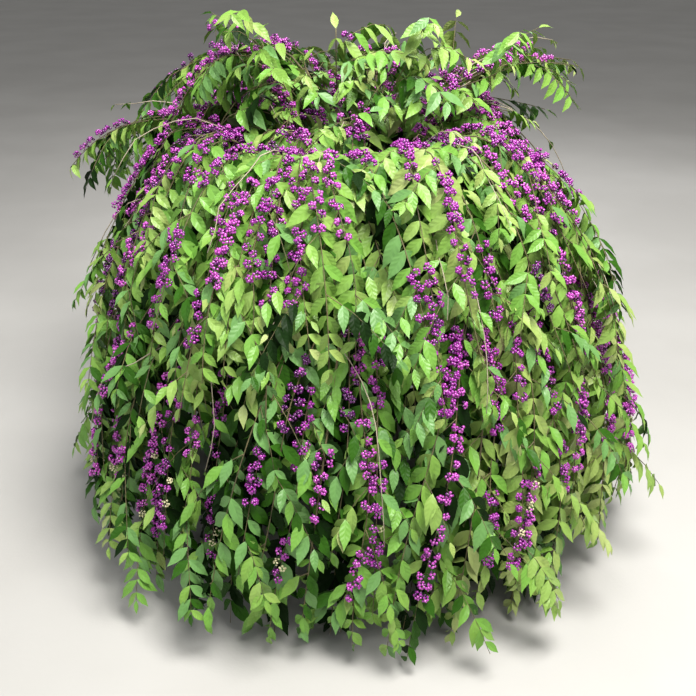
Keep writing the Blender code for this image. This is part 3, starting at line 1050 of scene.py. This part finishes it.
@dataclass(frozen=True)
class FloorFinish:
    """A plain pale studio floor, faintly mottled."""

    dark: Colour = (0.50, 0.49, 0.47)
    light: Colour = (0.55, 0.54, 0.52)
    patches: float = 1.3
    roughness: Span = (0.72, 0.84)
    grain: float = 90.0
    relief: float = 0.0004

    def material(self) -> bpy.types.Material:
        """Return the finish as a material."""
        graph = Graph("floor")
        mottle = graph.noise(self.patches, detail=4.0)
        graph.set(Base_Color=graph.blend(mottle, self.dark, self.light))
        graph.set(Roughness=graph.between(mottle, *self.roughness))
        graph.raise_by(graph.noise(self.grain), self.relief)
        return graph.material


def materials(finishes: type[Enum]) -> dict[str, bpy.types.Material]:
    """Return the material of each finish by the finish's name."""
    return {finish.value.name: finish.value.material() for finish in finishes}


def put_in_scene(name: str, data: bpy.types.ID) -> bpy.types.Object:
    """Return a new object of this data, put in the scene."""
    thing = bpy.data.objects.new(name, data)
    bpy.context.scene.collection.objects.link(thing)
    return thing


def show(
    mesh: bpy.types.Mesh, material: bpy.types.Material, nodes: list[str]
) -> None:
    """Put a mesh in the scene as a piece of the plant.

    Args:
        mesh: The piece's mesh, whose name the piece takes.
        material: The piece's finish.
        nodes: The solids that the piece stands for.
    """
    mesh.materials.append(material)
    piece = put_in_scene(mesh.name, mesh)
    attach(piece, "root")
    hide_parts(*nodes)
    LOG.info("%s: %d triangles", mesh.name, len(mesh.polygons))


# The plant's pieces.


@dataclass(frozen=True)
class Stool:
    """The low woody stool that carries the canes: a turned outline of (radius, height) with furrows."""

    outline: tuple[Span, ...] = (
        (0.0, 0.124),
        (0.040, 0.121),
        (0.070, 0.112),
        (0.090, 0.091),
        (0.097, 0.045),
        (0.111, 0.018),
        (0.131, 0.0),
    )
    rings: int = 40
    sides: int = 96
    furrows: tuple[int, ...] = (11, 17, 29)
    furrow: float = 0.0022
    full_depth_from: float = 0.070
    drift: float = 0.10
    phases: Span = (0.0, 6.0)
    finish: StemFinish = StemFinish(
        "old_bark", (0.060, 0.042, 0.030), (0.24, 0.18, 0.125), patch=40.0, grain=190.0, relief=0.0016
    )

    def build(self) -> None:
        """Build the stool."""
        chance = dealer("stool")
        profile = evenly_spaced(np.array([(r, 0.0, z) for r, z in self.outline]), self.rings + 1)[1:]
        angles = ring_angles(self.sides)
        relief = np.zeros((self.rings, self.sides))
        for count in self.furrows:
            drift = np.cumsum(chance.normal(0.0, self.drift, self.rings))
            relief += np.sin(count * angles[None] + drift[:, None] + chance.uniform(*self.phases))
        share = np.minimum(1.0, profile[:, 0] / self.full_depth_from)[:, None]
        radius = profile[:, :1] - share * self.furrow * (1.0 + relief / len(self.furrows))
        heights = np.repeat(profile[:, 2:], self.sides, axis=1)
        wall = np.stack([radius * np.cos(angles), radius * np.sin(angles), heights], axis=2)
        top, bottom = (0.0, 0.0, self.outline[0][1]), (0.0, 0.0, 0.0)
        points = np.concatenate([wall.reshape(-1, 3), [top, bottom]])
        triangles = tube_triangles(self.rings, self.sides)[:, ::-1]
        show(mesh_of("stool_bark", points, triangles), self.finish.material(), ["stool"])


@dataclass(frozen=True)
class Boughs:
    """The bare lower stretches of the canes, ridged and swollen at each old pair of leaves."""

    sides: int = 9
    rings: int = 46
    tip_radius: float = 0.0047
    slimmer: float = 0.94
    node_step: float = 0.055
    swelling: float = 0.16
    swelling_width: float = 0.12
    swelling_oval: float = 0.5
    ridge: float = 0.07
    ridge_counts: tuple[int, int] = (5, 3)
    drift: float = 0.15
    flare: float = 0.35
    flare_length: float = 0.05
    finish: StemFinish = StemFinish(
        "bough_bark", (0.105, 0.068, 0.050), (0.34, 0.25, 0.175), patch=26.0, grain=260.0, relief=0.0009
    )

    def radii(self, cane: Cane, line: np.ndarray) -> np.ndarray:
        """Return a bough's radius at each point and side.

        Args:
            cane: The cane that the bough belongs to.
            line: Its centre line.

        Returns:
            The radii, as (point, side).
        """
        chance = dealer(f"{cane.name} bark")
        share = np.linspace(0.0, 1.0, len(line))[:, None]
        angles = ring_angles(self.sides)[None]
        phase = (length_of(line) / self.node_step * share + chance.uniform(0.0, 1.0)) % 1.0
        swollen = self.swelling * np.exp(-(((phase - 0.5) / self.swelling_width) ** 2))
        swollen = swollen * (1 + self.swelling_oval * np.cos(2 * angles))
        drift = np.cumsum(chance.normal(0.0, self.drift, len(line)))[:, None]
        many, few = self.ridge_counts
        ridged = self.ridge * np.sin(many * angles + drift) * np.sin(few * angles - drift)
        flared = 1 + self.flare * np.exp(-share / self.flare_length)
        taper = cane.radius + (self.tip_radius - cane.radius) * share
        return self.slimmer * taper * flared * (1 + swollen + ridged)

    def build(self, canes: list[Cane]) -> None:
        """Build a bough for each cane."""
        tubes = Tubes(self.sides)
        for cane in canes:
            line = evenly_spaced(cane.bough_line(), self.rings)
            tubes.add(line, self.radii(cane, line))
        nodes = [f"bough_{cane.name}" for cane in canes]
        show(tubes.mesh("boughs_bark"), self.finish.material(), nodes)


@dataclass(frozen=True)
class Twigs:
    """The leafy stems themselves, thickened a little at each pair of leaves."""

    sides: int = 4
    point_step: float = 0.052
    fewest_points: int = 4
    swelling: float = 0.18
    leafy: StemFinish = StemFinish(
        "young_bark", (0.060, 0.050, 0.028), (0.20, 0.17, 0.07), patch=9.0, grain=300.0, relief=0.0005
    )
    bare: StemFinish = StemFinish(
        "whip_bark", (0.26, 0.21, 0.15), (0.50, 0.44, 0.33), patch=9.0, grain=300.0, relief=0.0004
    )

    def build(self, stems: list[Stem], nodes: list[str]) -> None:
        """Build the stems, the bare ones apart.

        Args:
            stems: All stems of the plant.
            nodes: The solids that they stand for.
        """
        leafy, bare = Tubes(self.sides), Tubes(self.sides)
        for stem in stems:
            count = max(self.fewest_points, round(length_of(stem.line) / self.point_step))
            line = evenly_spaced(stem.line, count)
            radii = np.linspace(stem.start_radius, stem.end_radius, count)
            radii[::2] *= 1 + self.swelling
            (bare if stem.kind is StemKind.WHIP else leafy).add(line, radii)
        show(leafy.mesh("twigs"), self.leafy.material(), nodes)
        show(bare.mesh("bare_whips"), self.bare.material(), nodes)


class Green(Enum):
    """The greens of the leaves, from the darkest to the palest."""

    # Shade and deep are painted shade on the leaves of the strands under the others; both also come in
    # the zones' mixes.
    SHADE = LeafFinish("shade", (0.007, 0.022, 0.004), 0.06)
    DEEP = LeafFinish("deep", (0.030, 0.105, 0.008), 0.14)
    COOL = LeafFinish("cool", (0.130, 0.288, 0.078))
    LEAF = LeafFinish("mid", (0.155, 0.345, 0.050))
    FRESH = LeafFinish("fresh", (0.195, 0.368, 0.060))
    BRIGHT = LeafFinish("bright", (0.245, 0.392, 0.084))
    LIME = LeafFinish("lime", (0.300, 0.415, 0.105))
    PALE = LeafFinish("pale", (0.370, 0.455, 0.155))


@dataclass(frozen=True)
class Zone:
    """Where on the plant a mix of greens belongs, partly as the leaves' own tints and partly as painted
    light and shade: its middle, its size and the share of each green.
    """

    middle: Place
    size: float
    greens: tuple[float, ...]


@dataclass(frozen=True)
class LeafShape:
    """A leaf blade drawn out to a long tip and folded along its midrib.

    Rows holds (share of the length, share of the half width). Bends holds, for each of the forms, the
    droop of the tip, the fold, the sideways bend and the wave of the margin, as shares of the length.
    """

    half_width: float = 0.196
    rows: tuple[Span, ...] = ((0.09, 0.34), (0.24, 0.82), (0.42, 1.00), (0.64, 0.80), (0.85, 0.29))
    bends: tuple[tuple[float, float, float, float], ...] = (
        (0.10, 0.055, 0.00, 0.010),
        (0.20, 0.080, 0.05, 0.014),
        (0.04, 0.045, -0.05, 0.008),
        (0.28, 0.070, 0.03, 0.018),
        (0.15, 0.110, -0.03, 0.012),
        (0.24, 0.040, -0.06, 0.022),
    )

    def forms(self) -> list[Form]:
        """Return one form for each way that a leaf bends."""
        return [self.form(*bend) for bend in self.bends]

    def form(self, droop: float, fold: float, aside: float, wave: float) -> Form:
        """Return a leaf 1 long: X across the blade, Y over its upper side and Z along it."""
        points, blade, ranks = [(0.0, 0.0, 0.0)], [(MIDRIB, 0.0)], [[0]]
        for number, (along, width) in enumerate(self.rows):
            outer = number in (0, len(self.rows) - 1)
            middle = np.array([aside * along**2, -droop * along**2, along])
            edge = fold * width + wave * (1 if number % 2 else -1)
            ranks.append([])
            for side in (-1, 1) if outer else (-1, 0, 1):
                ranks[-1].append(len(points))
                shift = (side * width * self.half_width, edge * abs(side), 0.0)
                points.append(tuple(middle + shift))
                blade.append((MIDRIB * (1 + side * width), along))
        ranks.append([len(points)])
        points.append((aside, -droop, 1.0))
        blade.append((MIDRIB, 1.0))
        triangles = [corners for low, high in zip(ranks, ranks[1:]) for corners in stitched(low, high)]
        crisp = tuple(rank[1] for rank in ranks if len(rank) == 3)
        return Form(np.array(points), np.array(triangles), np.array(blade), crisp)


@dataclass(frozen=True)
class Foliage:
    """The leaves: opposite pairs along every stem, and one at its tip.

    Kinds holds the step between pairs and the leaves' size for each kind of stem. Tries holds the
    spread and the size of each try to keep a leaf in its room.
    """

    shape: LeafShape = LeafShape()
    length: float = 0.080
    first: float = 0.012
    last: float = 0.002
    scatter: float = 0.004
    sizes: Span = (0.82, 1.12)
    kinds: tuple[tuple[StemKind, float, float], ...] = (
        (StemKind.LEADER, 0.038, 1.0),
        (StemKind.STRAND, 0.038, 1.0),
        (StemKind.UNDER, 0.048, 1.30),
        (StemKind.SIDE, 0.031, 0.84),
        (StemKind.INNER, 0.034, 0.95),
        (StemKind.WHIP, 0.130, 0.70),
    )
    tries: tuple[Span, ...] = ((0.75, 1.0), (0.40, 0.85), (0.15, 0.65))
    young_from: float = 0.80
    young_run: float = 0.20
    young_smaller: float = 0.40
    forward: float = 0.55
    hang: float = 0.42
    steep_hang: float = 0.85
    sky: float = 1.1
    varies: float = 0.26
    tilt: float = 0.8
    middle: float = 0.45
    behind_fruit: float = 0.40
    shy_of_fruit: float = 0.94
    # Shares of the greens, from shade on, for leaves of the strands under the others: painted shade,
    # darkest inside the mound and milder under free canes.
    under_painted_shade_greens: tuple[float, ...] = (0.64, 0.31, 0.05, 0.0, 0.0)
    free_under_painted_shade_greens: tuple[float, ...] = (0.02, 0.26, 0.34, 0.28, 0.10)
    shifts: tuple[float, ...] = (0.06, 0.18, 0.52, 0.19, 0.05)
    paler_from: float = 0.9
    # The greens are partly the leaves' own tints; paler mixes on the right are painted light, darker
    # ones low at the front and on the left painted shade.
    tint_and_light_zones: tuple[Zone, ...] = (
        Zone((0.0, -0.75, 0.35), 0.40, (2, 6, 9, 7, 4, 1, 0, 0)),
        Zone((-0.60, -0.40, 0.50), 0.40, (2, 6, 7, 7, 4, 2, 0, 0)),
        Zone((0.65, -0.35, 0.45), 0.45, (0, 1, 3, 6, 7, 6, 3, 0)),
        Zone((0.55, 0.10, 0.90), 0.40, (0, 1, 2, 6, 8, 6, 2, 0)),
        Zone((0.0, -0.20, 1.15), 0.40, (0, 2, 3, 8, 8, 3, 1, 0)),
        Zone((-0.55, 0.20, 1.00), 0.40, (1, 3, 4, 8, 5, 2, 0, 0)),
        Zone((0.0, 0.65, 0.60), 0.60, (1, 3, 5, 8, 5, 2, 1, 0)),
    )

    def greens_at(self, place: np.ndarray) -> np.ndarray:
        """Return the share of each green at a place."""
        total = np.zeros(len(Green))
        for zone in self.tint_and_light_zones:
            distance = float(np.linalg.norm(place - np.array(zone.middle)))
            nearness = math.exp(-((distance / zone.size) ** 2))
            total += (nearness + TINY) * np.array(zone.greens) / sum(zone.greens)
        return total / total.sum()

    def greens_of(self, stem: Stem, shares: np.ndarray, chance: np.random.Generator) -> np.ndarray:
        """Return the rank of each leaf's green.

        Args:
            stem: The stem that carries the leaves.
            shares: Where they are, as shares of its length.
            chance: The source of chance.

        Returns:
            Ranks in Green.
        """
        # Leaves of the strands under the others take darker greens as painted shade.
        if stem.kind is StemKind.UNDER:
            greens = self.free_under_painted_shade_greens if stem.cane.free else self.under_painted_shade_greens
            return chance.choice(len(greens), p=greens, size=len(shares))
        base = int(chance.choice(len(Green), p=self.greens_at(stem.line[len(stem.line) // 2])))
        shift = chance.choice(len(self.shifts), p=self.shifts, size=len(shares)) - len(self.shifts) // 2
        return np.clip(base + shift + (shares > self.paler_from), 0, len(Green) - 1)

    def axes(
        self,
        places: np.ndarray,
        tangents: np.ndarray,
        sides: np.ndarray,
        stirred: np.ndarray,
        spread: float,
        behind: float,
    ) -> np.ndarray:
        """Return the directions of leaves.

        Args:
            places: Where the leaves are rooted.
            tangents: The stem's direction there.
            sides: The side that each leaf is on, -1 or 1, or 0 at the tip.
            stirred: What chance adds to each leaf's direction.
            spread: How far the leaves stand out from the stem.
            behind: How far they turn in towards the plant.

        Returns:
            Each leaf's width, normal and length directions, as (leaf, direction, 3).
        """
        across = sides[:, None] * unit(np.cross(UP, level(tangents, TINY)))
        steep = np.maximum(tangents[:, 2:], 0.0)
        hang = (self.hang + self.steep_hang * steep) * np.abs(sides)[:, None]
        outward = level(places, OUTWARD_RISE)
        length = unit(spread * across + self.forward * tangents - hang * UP - behind * outward)
        length = unit(length + self.varies * stirred)
        normal = outward + self.sky * UP + self.tilt * self.varies * stirred[:, ::-1]
        normal = unit(normal - (normal * length).sum(axis=1, keepdims=True) * length)
        return np.stack([np.cross(normal, length), normal, length], axis=1)

    def add_leaves(self, stem: Stem, space: Space, fruit: FruitMap, copies: Copies) -> None:
        """Add the leaves of a stem, and turn in and shrink those that stand out of their room.

        Args:
            stem: The stem that carries them.
            space: The room that the spray keeps to.
            fruit: Where the clusters are that most leaves stay clear of.
            copies: What gathers the leaves.
        """
        chance = dealer(f"{stem.name} leaves")
        whole = length_of(stem.line)
        step, scale = {kind: values for kind, *values in self.kinds}[stem.kind]
        distances = np.arange(self.first + step * chance.uniform(0.0, 1.0), whole - self.last, step)
        distances += chance.uniform(-self.scatter, self.scatter, len(distances))
        places, tangents = stem.at(np.concatenate([np.repeat(distances, 2), [whole]]))
        sides = np.concatenate([np.tile([-1.0, 1.0], len(distances)), [0.0]])
        shares = np.concatenate([np.repeat(distances / whole, 2), [1.0]])
        young = np.clip((shares - self.young_from) / self.young_run, 0.0, 1.0)
        lengths = self.length * scale * (1.0 - self.young_smaller * young)
        sizes = lengths * chance.uniform(*self.sizes, len(sides))
        stirred = chance.uniform(-1.0, 1.0, (len(sides), 3))
        forms = chance.integers(len(self.shape.bends), size=len(sides))
        shy = chance.uniform(size=len(sides)) < self.shy_of_fruit
        dealt = self.greens_of(stem, shares, chance)
        left = np.arange(len(sides))
        for spread, share in self.tries:
            rows = (places[left], tangents[left], sides[left], stirred[left])
            axes = self.axes(*rows, spread, self.behind_fruit if stem.fruits else 0.0)
            axes *= (share * sizes[left])[:, None, None]
            aside = axes[:, 0] * self.shape.half_width
            middle = places[left] + self.middle * axes[:, 2]
            tips = places[left] + axes[:, 2]
            probes = np.stack([middle, middle + aside, middle - aside, tips], axis=1)
            held = space.holds(probes.reshape(-1, 3)).reshape(probes.shape[:2]).all(axis=1)
            covers = fruit.covered_by(probes[:, [0, 3]].reshape(-1, 3)).reshape(-1, 2).any(axis=1)
            held &= ~(covers & shy[left])
            copies.add(places[left][held], axes[held], forms[left][held], dealt[left][held])
            left = left[~held]

    def build(self, sprays: Sprays, nodes: list[str], fruit: FruitMap) -> None:
        """Build all leaves.

        Args:
            sprays: The stems of each spray, with its room.
            nodes: The solids that the leaves stand for.
            fruit: Where the clusters are.
        """
        copies = Copies()
        for stems, space in sprays:
            for stem in stems:
                self.add_leaves(stem, space, fruit, copies)
        finishes = materials(Green)
        LOG.info("%d leaves", len(copies.gathered()[0]))
        for mesh, tint in copies.meshes("leaves", self.shape.forms(), list(finishes)):
            show(mesh, finishes[tint], nodes)


class Ripeness(Enum):
    """The colours of the fruit."""

    VIOLET = BerryFinish("violet", (0.350, 0.030, 0.350))
    MAGENTA = BerryFinish("magenta", (0.520, 0.075, 0.480))
    # Plum is a ripeness of its own, and also the painted shade on the lower berries of each cluster.
    PLUM = BerryFinish("plum", (0.110, 0.008, 0.130))
    CREAM = BerryFinish("cream", (0.70, 0.66, 0.40), coat=0.0)


@dataclass(frozen=True)
class Fruit:
    """The berries: a pair of small domed clusters on short stalks over each fruiting pair of leaves."""

    berry_radius: float = 0.0040
    dome_radius: float = 0.0083
    dome_sizes: tuple[int, ...] = (12, 13, 15, 17)
    ring_heights: Span = (0.52, -0.22)
    ring_sides: int = 4
    lowest: float = -0.30
    sizes: Span = (0.84, 1.12)
    scales: Span = (0.80, 1.12)
    stands: Span = (0.86, 1.1)
    rise: float = 0.0125
    rises: Span = (0.8, 1.3)
    turns: Span = (0.10, 1.25)
    along: float = 0.0100
    stalk_radius: float = 0.0006
    stalk_sides: int = 3
    starts: tuple[Span, ...] = ((0.02, 0.24), (0.32, 0.50), (0.58, 0.76))
    runs: Span = (0.11, 0.27)
    run_missed: float = 0.28
    step: float = 0.030
    missed: float = 0.08
    covered: str = "skirt"
    covered_above: float = 0.80
    ripe_shares: tuple[float, ...] = (0.52, 0.34, 0.14)
    # Berries below this height on a cluster's dome take the darkest colour as painted shade.
    mixed: float = 0.22
    painted_shade_below: float = 0.0
    cream_below: float = 0.45
    cream_share: float = 0.10
    cream_size: float = 0.8

    @property
    def dark(self) -> int:
        """Return the rank of the darkest fruit, which is also the painted shade on each cluster's lower
        berries.
        """
        return list(Ripeness).index(Ripeness.PLUM)

    @property
    def cream(self) -> int:
        """Return the rank of the unripe fruit."""
        return list(Ripeness).index(Ripeness.CREAM)

    def berry(self) -> Form:
        """Return a ball 1 in radius, open where it meets the others, with its Z towards the outside."""
        points = [(0.0, 0.0, 1.0)]
        for rank, height in enumerate(self.ring_heights):
            radius = math.sqrt(1 - height**2)
            for angle in ring_angles(self.ring_sides) + rank * math.pi / self.ring_sides:
                points.append((radius * math.cos(angle), radius * math.sin(angle), height))
        triangles = []
        for step in range(self.ring_sides):
            here, after = 1 + step, 1 + (step + 1) % self.ring_sides
            under, beyond = here + self.ring_sides, after + self.ring_sides
            triangles += [(0, here, after), (here, under, after), (after, under, beyond)]
        return Form(np.array(points), np.array(triangles))

    def stalk(self) -> Form:
        """Return an open stalk 1 in radius, from 0 to 1 along Z."""
        ring = flat_ring(self.stalk_sides)
        walls = tube_triangles(2, self.stalk_sides)[: 2 * self.stalk_sides]
        return Form(np.concatenate([ring, ring + UP]), walls)

    def dome(self, count: int) -> np.ndarray:
        """Return the directions of the berries of one cluster, with Z over its middle."""
        rank = np.arange(count)
        height = 1 - 2 * (rank + 0.5) / count
        angle = GOLDEN_TURN * rank
        flat = np.sqrt(1 - height**2)
        spread = np.stack([flat * np.cos(angle), flat * np.sin(angle), height], axis=1)
        return spread[height > self.lowest]

    def distances(self, whole: float, chance: np.random.Generator) -> np.ndarray:
        """Return how far along a stem of this length its pairs of clusters stand."""
        runs = [np.empty(0)]
        for starts in self.starts:
            start = whole * chance.uniform(*starts)
            run = start + np.arange(0.0, whole * chance.uniform(*self.runs), self.step)
            if chance.uniform() > self.run_missed:
                runs.append(run)
        distances = np.unique(np.concatenate(runs))
        return distances[distances < whole]

    def cluster(
        self, turn: np.ndarray, ripeness: int, low: bool, chance: np.random.Generator
    ) -> tuple[np.ndarray, np.ndarray, np.ndarray]:
        """Return the berries of one cluster.

        Args:
            turn: The cluster's own X, Y and Z, one in each row, with Z away from the stem.
            ripeness: The rank of most berries' colour.
            low: Whether it may be unripe.
            chance: The source of chance.

        Returns:
            The berries' places from its middle, their axes and the ranks of their colours.
        """
        dome = self.dome(int(chance.choice(self.dome_sizes)))
        scale = self.dome_radius * chance.uniform(*self.scales)
        spin = chance.uniform(0.0, 2 * math.pi)
        cosine, sine = math.cos(spin), math.sin(spin)
        outwards = dome @ np.array([(cosine, sine, 0.0), (-sine, cosine, 0.0), UP]) @ turn
        offsets = scale * chance.uniform(*self.stands, (len(dome), 1)) * outwards
        sizes = self.berry_radius * chance.uniform(*self.sizes, len(dome))
        strays = chance.uniform(size=len(dome)) < self.mixed
        tints = np.where(strays, chance.integers(len(self.ripe_shares), size=len(dome)), ripeness)
        # Painted shade: the lower berries of each cluster take the darkest colour.
        tints[dome[:, 2] < self.painted_shade_below] = self.dark
        if low and chance.uniform() < self.cream_share:
            tints[:] = self.cream
            sizes *= self.cream_size
        return offsets, sizes[:, None, None] * framed(outwards), tints

    def add_clusters(self, stem: Stem, space: Space, berries: Copies, stalks: Copies) -> None:
        """Add the clusters of a stem that bears fruit.

        Args:
            stem: The stem that carries them.
            space: The room that the spray keeps to.
            berries: What gathers the berries.
            stalks: What gathers their stalks.
        """
        chance = dealer(f"{stem.name} fruit")
        distances = self.distances(length_of(stem.line), chance)
        ripeness = int(chance.choice(len(self.ripe_shares), p=self.ripe_shares))
        for place, tangent in zip(*stem.at(distances)):
            if stem.cane.name.startswith(self.covered) and place[2] > self.covered_above:
                continue
            outward = level(place, OUTWARD_RISE) + UP
            lift = unit(outward - (outward @ tangent) * tangent)
            across = np.cross(tangent, lift)
            for side in (-1, 1):
                turned = side * chance.uniform(*self.turns)
                reach = self.rise * chance.uniform(*self.rises)
                middle = place + reach * (math.cos(turned) * lift + math.sin(turned) * across)
                middle += tangent * chance.uniform(-self.along, self.along)
                if chance.uniform() < self.missed or not space.holds(middle[None])[0]:
                    continue
                axis = unit(middle - place)
                first = unit(np.cross(axis, tangent))
                turn = np.stack([first, np.cross(axis, first), axis])
                low = place[2] < self.cream_below
                offsets, balls, tints = self.cluster(turn, ripeness, low, chance)
                berries.add(middle + offsets, balls, np.zeros(len(tints), int), tints)
                post = np.concatenate([self.stalk_radius * turn[:2], [middle - place]])
                stalks.add(place[None], post[None], np.zeros(1, int), np.zeros(1, int))

    def build(self, sprays: Sprays, nodes: list[str], bark: StemFinish) -> FruitMap:
        """Build all berries and their stalks.

        Args:
            sprays: The stems of each spray, with its room.
            nodes: The solids that the fruit stands for.
            bark: The finish of the stalks.

        Returns:
            Where the clusters are.
        """
        berries, stalks = Copies(), Copies()
        for stems, space in sprays:
            for stem in stems:
                if stem.fruits:
                    self.add_clusters(stem, space, berries, stalks)
        finishes = materials(Ripeness)
        LOG.info("%d clusters, %d berries", len(stalks.places), len(berries.gathered()[0]))
        for mesh, tint in berries.meshes("berries", [self.berry()], list(finishes)):
            show(mesh, finishes[tint], nodes)
        for mesh, _ in stalks.meshes("fruit", [self.stalk()], ["stalks"]):
            show(mesh, bark.material(), nodes)
        places, axes, _, _ = stalks.gathered()
        return FruitMap(places + axes[:, 2])


@dataclass(frozen=True)
class Beautyberry:
    """The whole plant."""

    plan: CanePlan = CanePlan()
    grower: Grower = Grower()
    stool: Stool = Stool()
    boughs: Boughs = Boughs()
    twigs: Twigs = Twigs()
    foliage: Foliage = Foliage()
    fruit: Fruit = Fruit()
    stalk_finish: StemFinish = StemFinish(
        "fruit_stalk", (0.16, 0.08, 0.11), (0.30, 0.20, 0.16), patch=20.0, grain=400.0, relief=0.0003
    )

    def build(self) -> None:
        """Build every piece of the plant."""
        canes = self.plan.canes()
        leaders = {cane.name: cane.leader_line() for cane in canes}
        nodes = [f"spray_{cane.name}" for cane in canes]
        self.stool.build()
        self.boughs.build(canes)
        sprays = []
        for cane in canes:
            space = Space(cane.name, leaders, canes)
            sprays.append((self.grower.stems(cane, space), space))
        stems = [stem for grown, _ in sprays for stem in grown]
        LOG.info("%d stems", len(stems))
        self.twigs.build(stems, nodes)
        fruit = self.fruit.build(sprays, nodes, self.stalk_finish)
        self.foliage.build(sprays, nodes, fruit)


# The studio.


@dataclass(frozen=True)
class Lamp:
    """A soft square light: where it stands, where it points, its side and its power."""

    name: str
    place: Place
    aim: Place
    side: float
    power: float
    colour: Colour = (1.0, 1.0, 1.0)

    def build(self) -> None:
        """Put the light in the scene."""
        data = bpy.data.lights.new(self.name, "AREA")
        data.shape = "SQUARE"
        data.size = self.side
        data.energy = self.power
        data.color = self.colour
        lamp = put_in_scene(self.name, data)
        lamp.location = self.place
        heading = Vector(self.aim) - Vector(self.place)
        lamp.rotation_euler = heading.to_track_quat("-Z", "Y").to_euler()


@dataclass(frozen=True)
class Studio:
    """The pale floor, the soft light, and the camera where the photographer stood."""

    floor_radius: float = 30.0
    floor_sides: int = 96
    camera_place: Place = (0.02, -2.70, 1.71)
    camera_pitch: float = -25.0
    lens: float = 50.0
    sensor: float = 36.0
    sky: Colour = (0.95, 0.95, 0.94)
    sky_strength: float = 0.27
    lamps: tuple[Lamp, ...] = (
        Lamp("overhead", (0.9, -1.6, 4.4), (0.0, -0.1, 0.6), 2.0, 350.0, (1.0, 0.98, 0.94)),
        Lamp("left_fill", (-3.6, -3.0, 2.6), (0.0, 0.0, 0.6), 3.0, 55.0, (0.94, 0.97, 1.0)),
        Lamp("back_fill", (1.5, 3.6, 3.4), (0.0, 0.0, 0.7), 3.0, 60.0),
    )

    def build(self) -> None:
        """Build the studio."""
        self.build_floor()
        for lamp in self.lamps:
            lamp.build()
        world = bpy.data.worlds.new("studio")
        world.use_nodes = True
        background = world.node_tree.nodes["Background"]
        background.inputs["Color"].default_value = (*self.sky, 1.0)
        background.inputs["Strength"].default_value = self.sky_strength
        bpy.context.scene.world = world
        bpy.context.scene.view_settings.view_transform = "Standard"
        self.build_camera()

    def build_floor(self) -> None:
        """Build a round floor."""
        rim = self.floor_radius * flat_ring(self.floor_sides)
        edge = np.arange(self.floor_sides)
        middle = np.full(self.floor_sides, self.floor_sides)
        triangles = np.stack([edge, (edge + 1) % self.floor_sides, middle], axis=1)
        mesh = mesh_of("floor", np.concatenate([rim, np.zeros((1, 3))]), triangles)
        mesh.materials.append(FloorFinish().material())
        floor = put_in_scene("floor", mesh)
        floor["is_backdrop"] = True

    def build_camera(self) -> None:
        """Stand the camera in front of the plant, above its middle, looking down at it."""
        data = bpy.data.cameras.new("camera")
        data.lens = self.lens
        data.sensor_width = self.sensor
        camera = put_in_scene("camera", data)
        camera.location = self.camera_place
        camera.rotation_euler = (math.radians(90.0 + self.camera_pitch), 0.0, 0.0)
        bpy.context.scene.camera = camera


def write_sizes() -> None:
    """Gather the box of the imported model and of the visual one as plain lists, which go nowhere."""
    boxes = {"cad": CAD_BOX, "visual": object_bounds()}
    sizes = {name: [list(corner) for corner in box] for name, box in boxes.items()}


def main() -> None:
    """Build the plant and the studio."""
    logging.basicConfig(level=logging.INFO, format="%(message)s")
    Beautyberry().build()
    Studio().build()
    write_sizes()


if __name__ == "__main__":
    main()
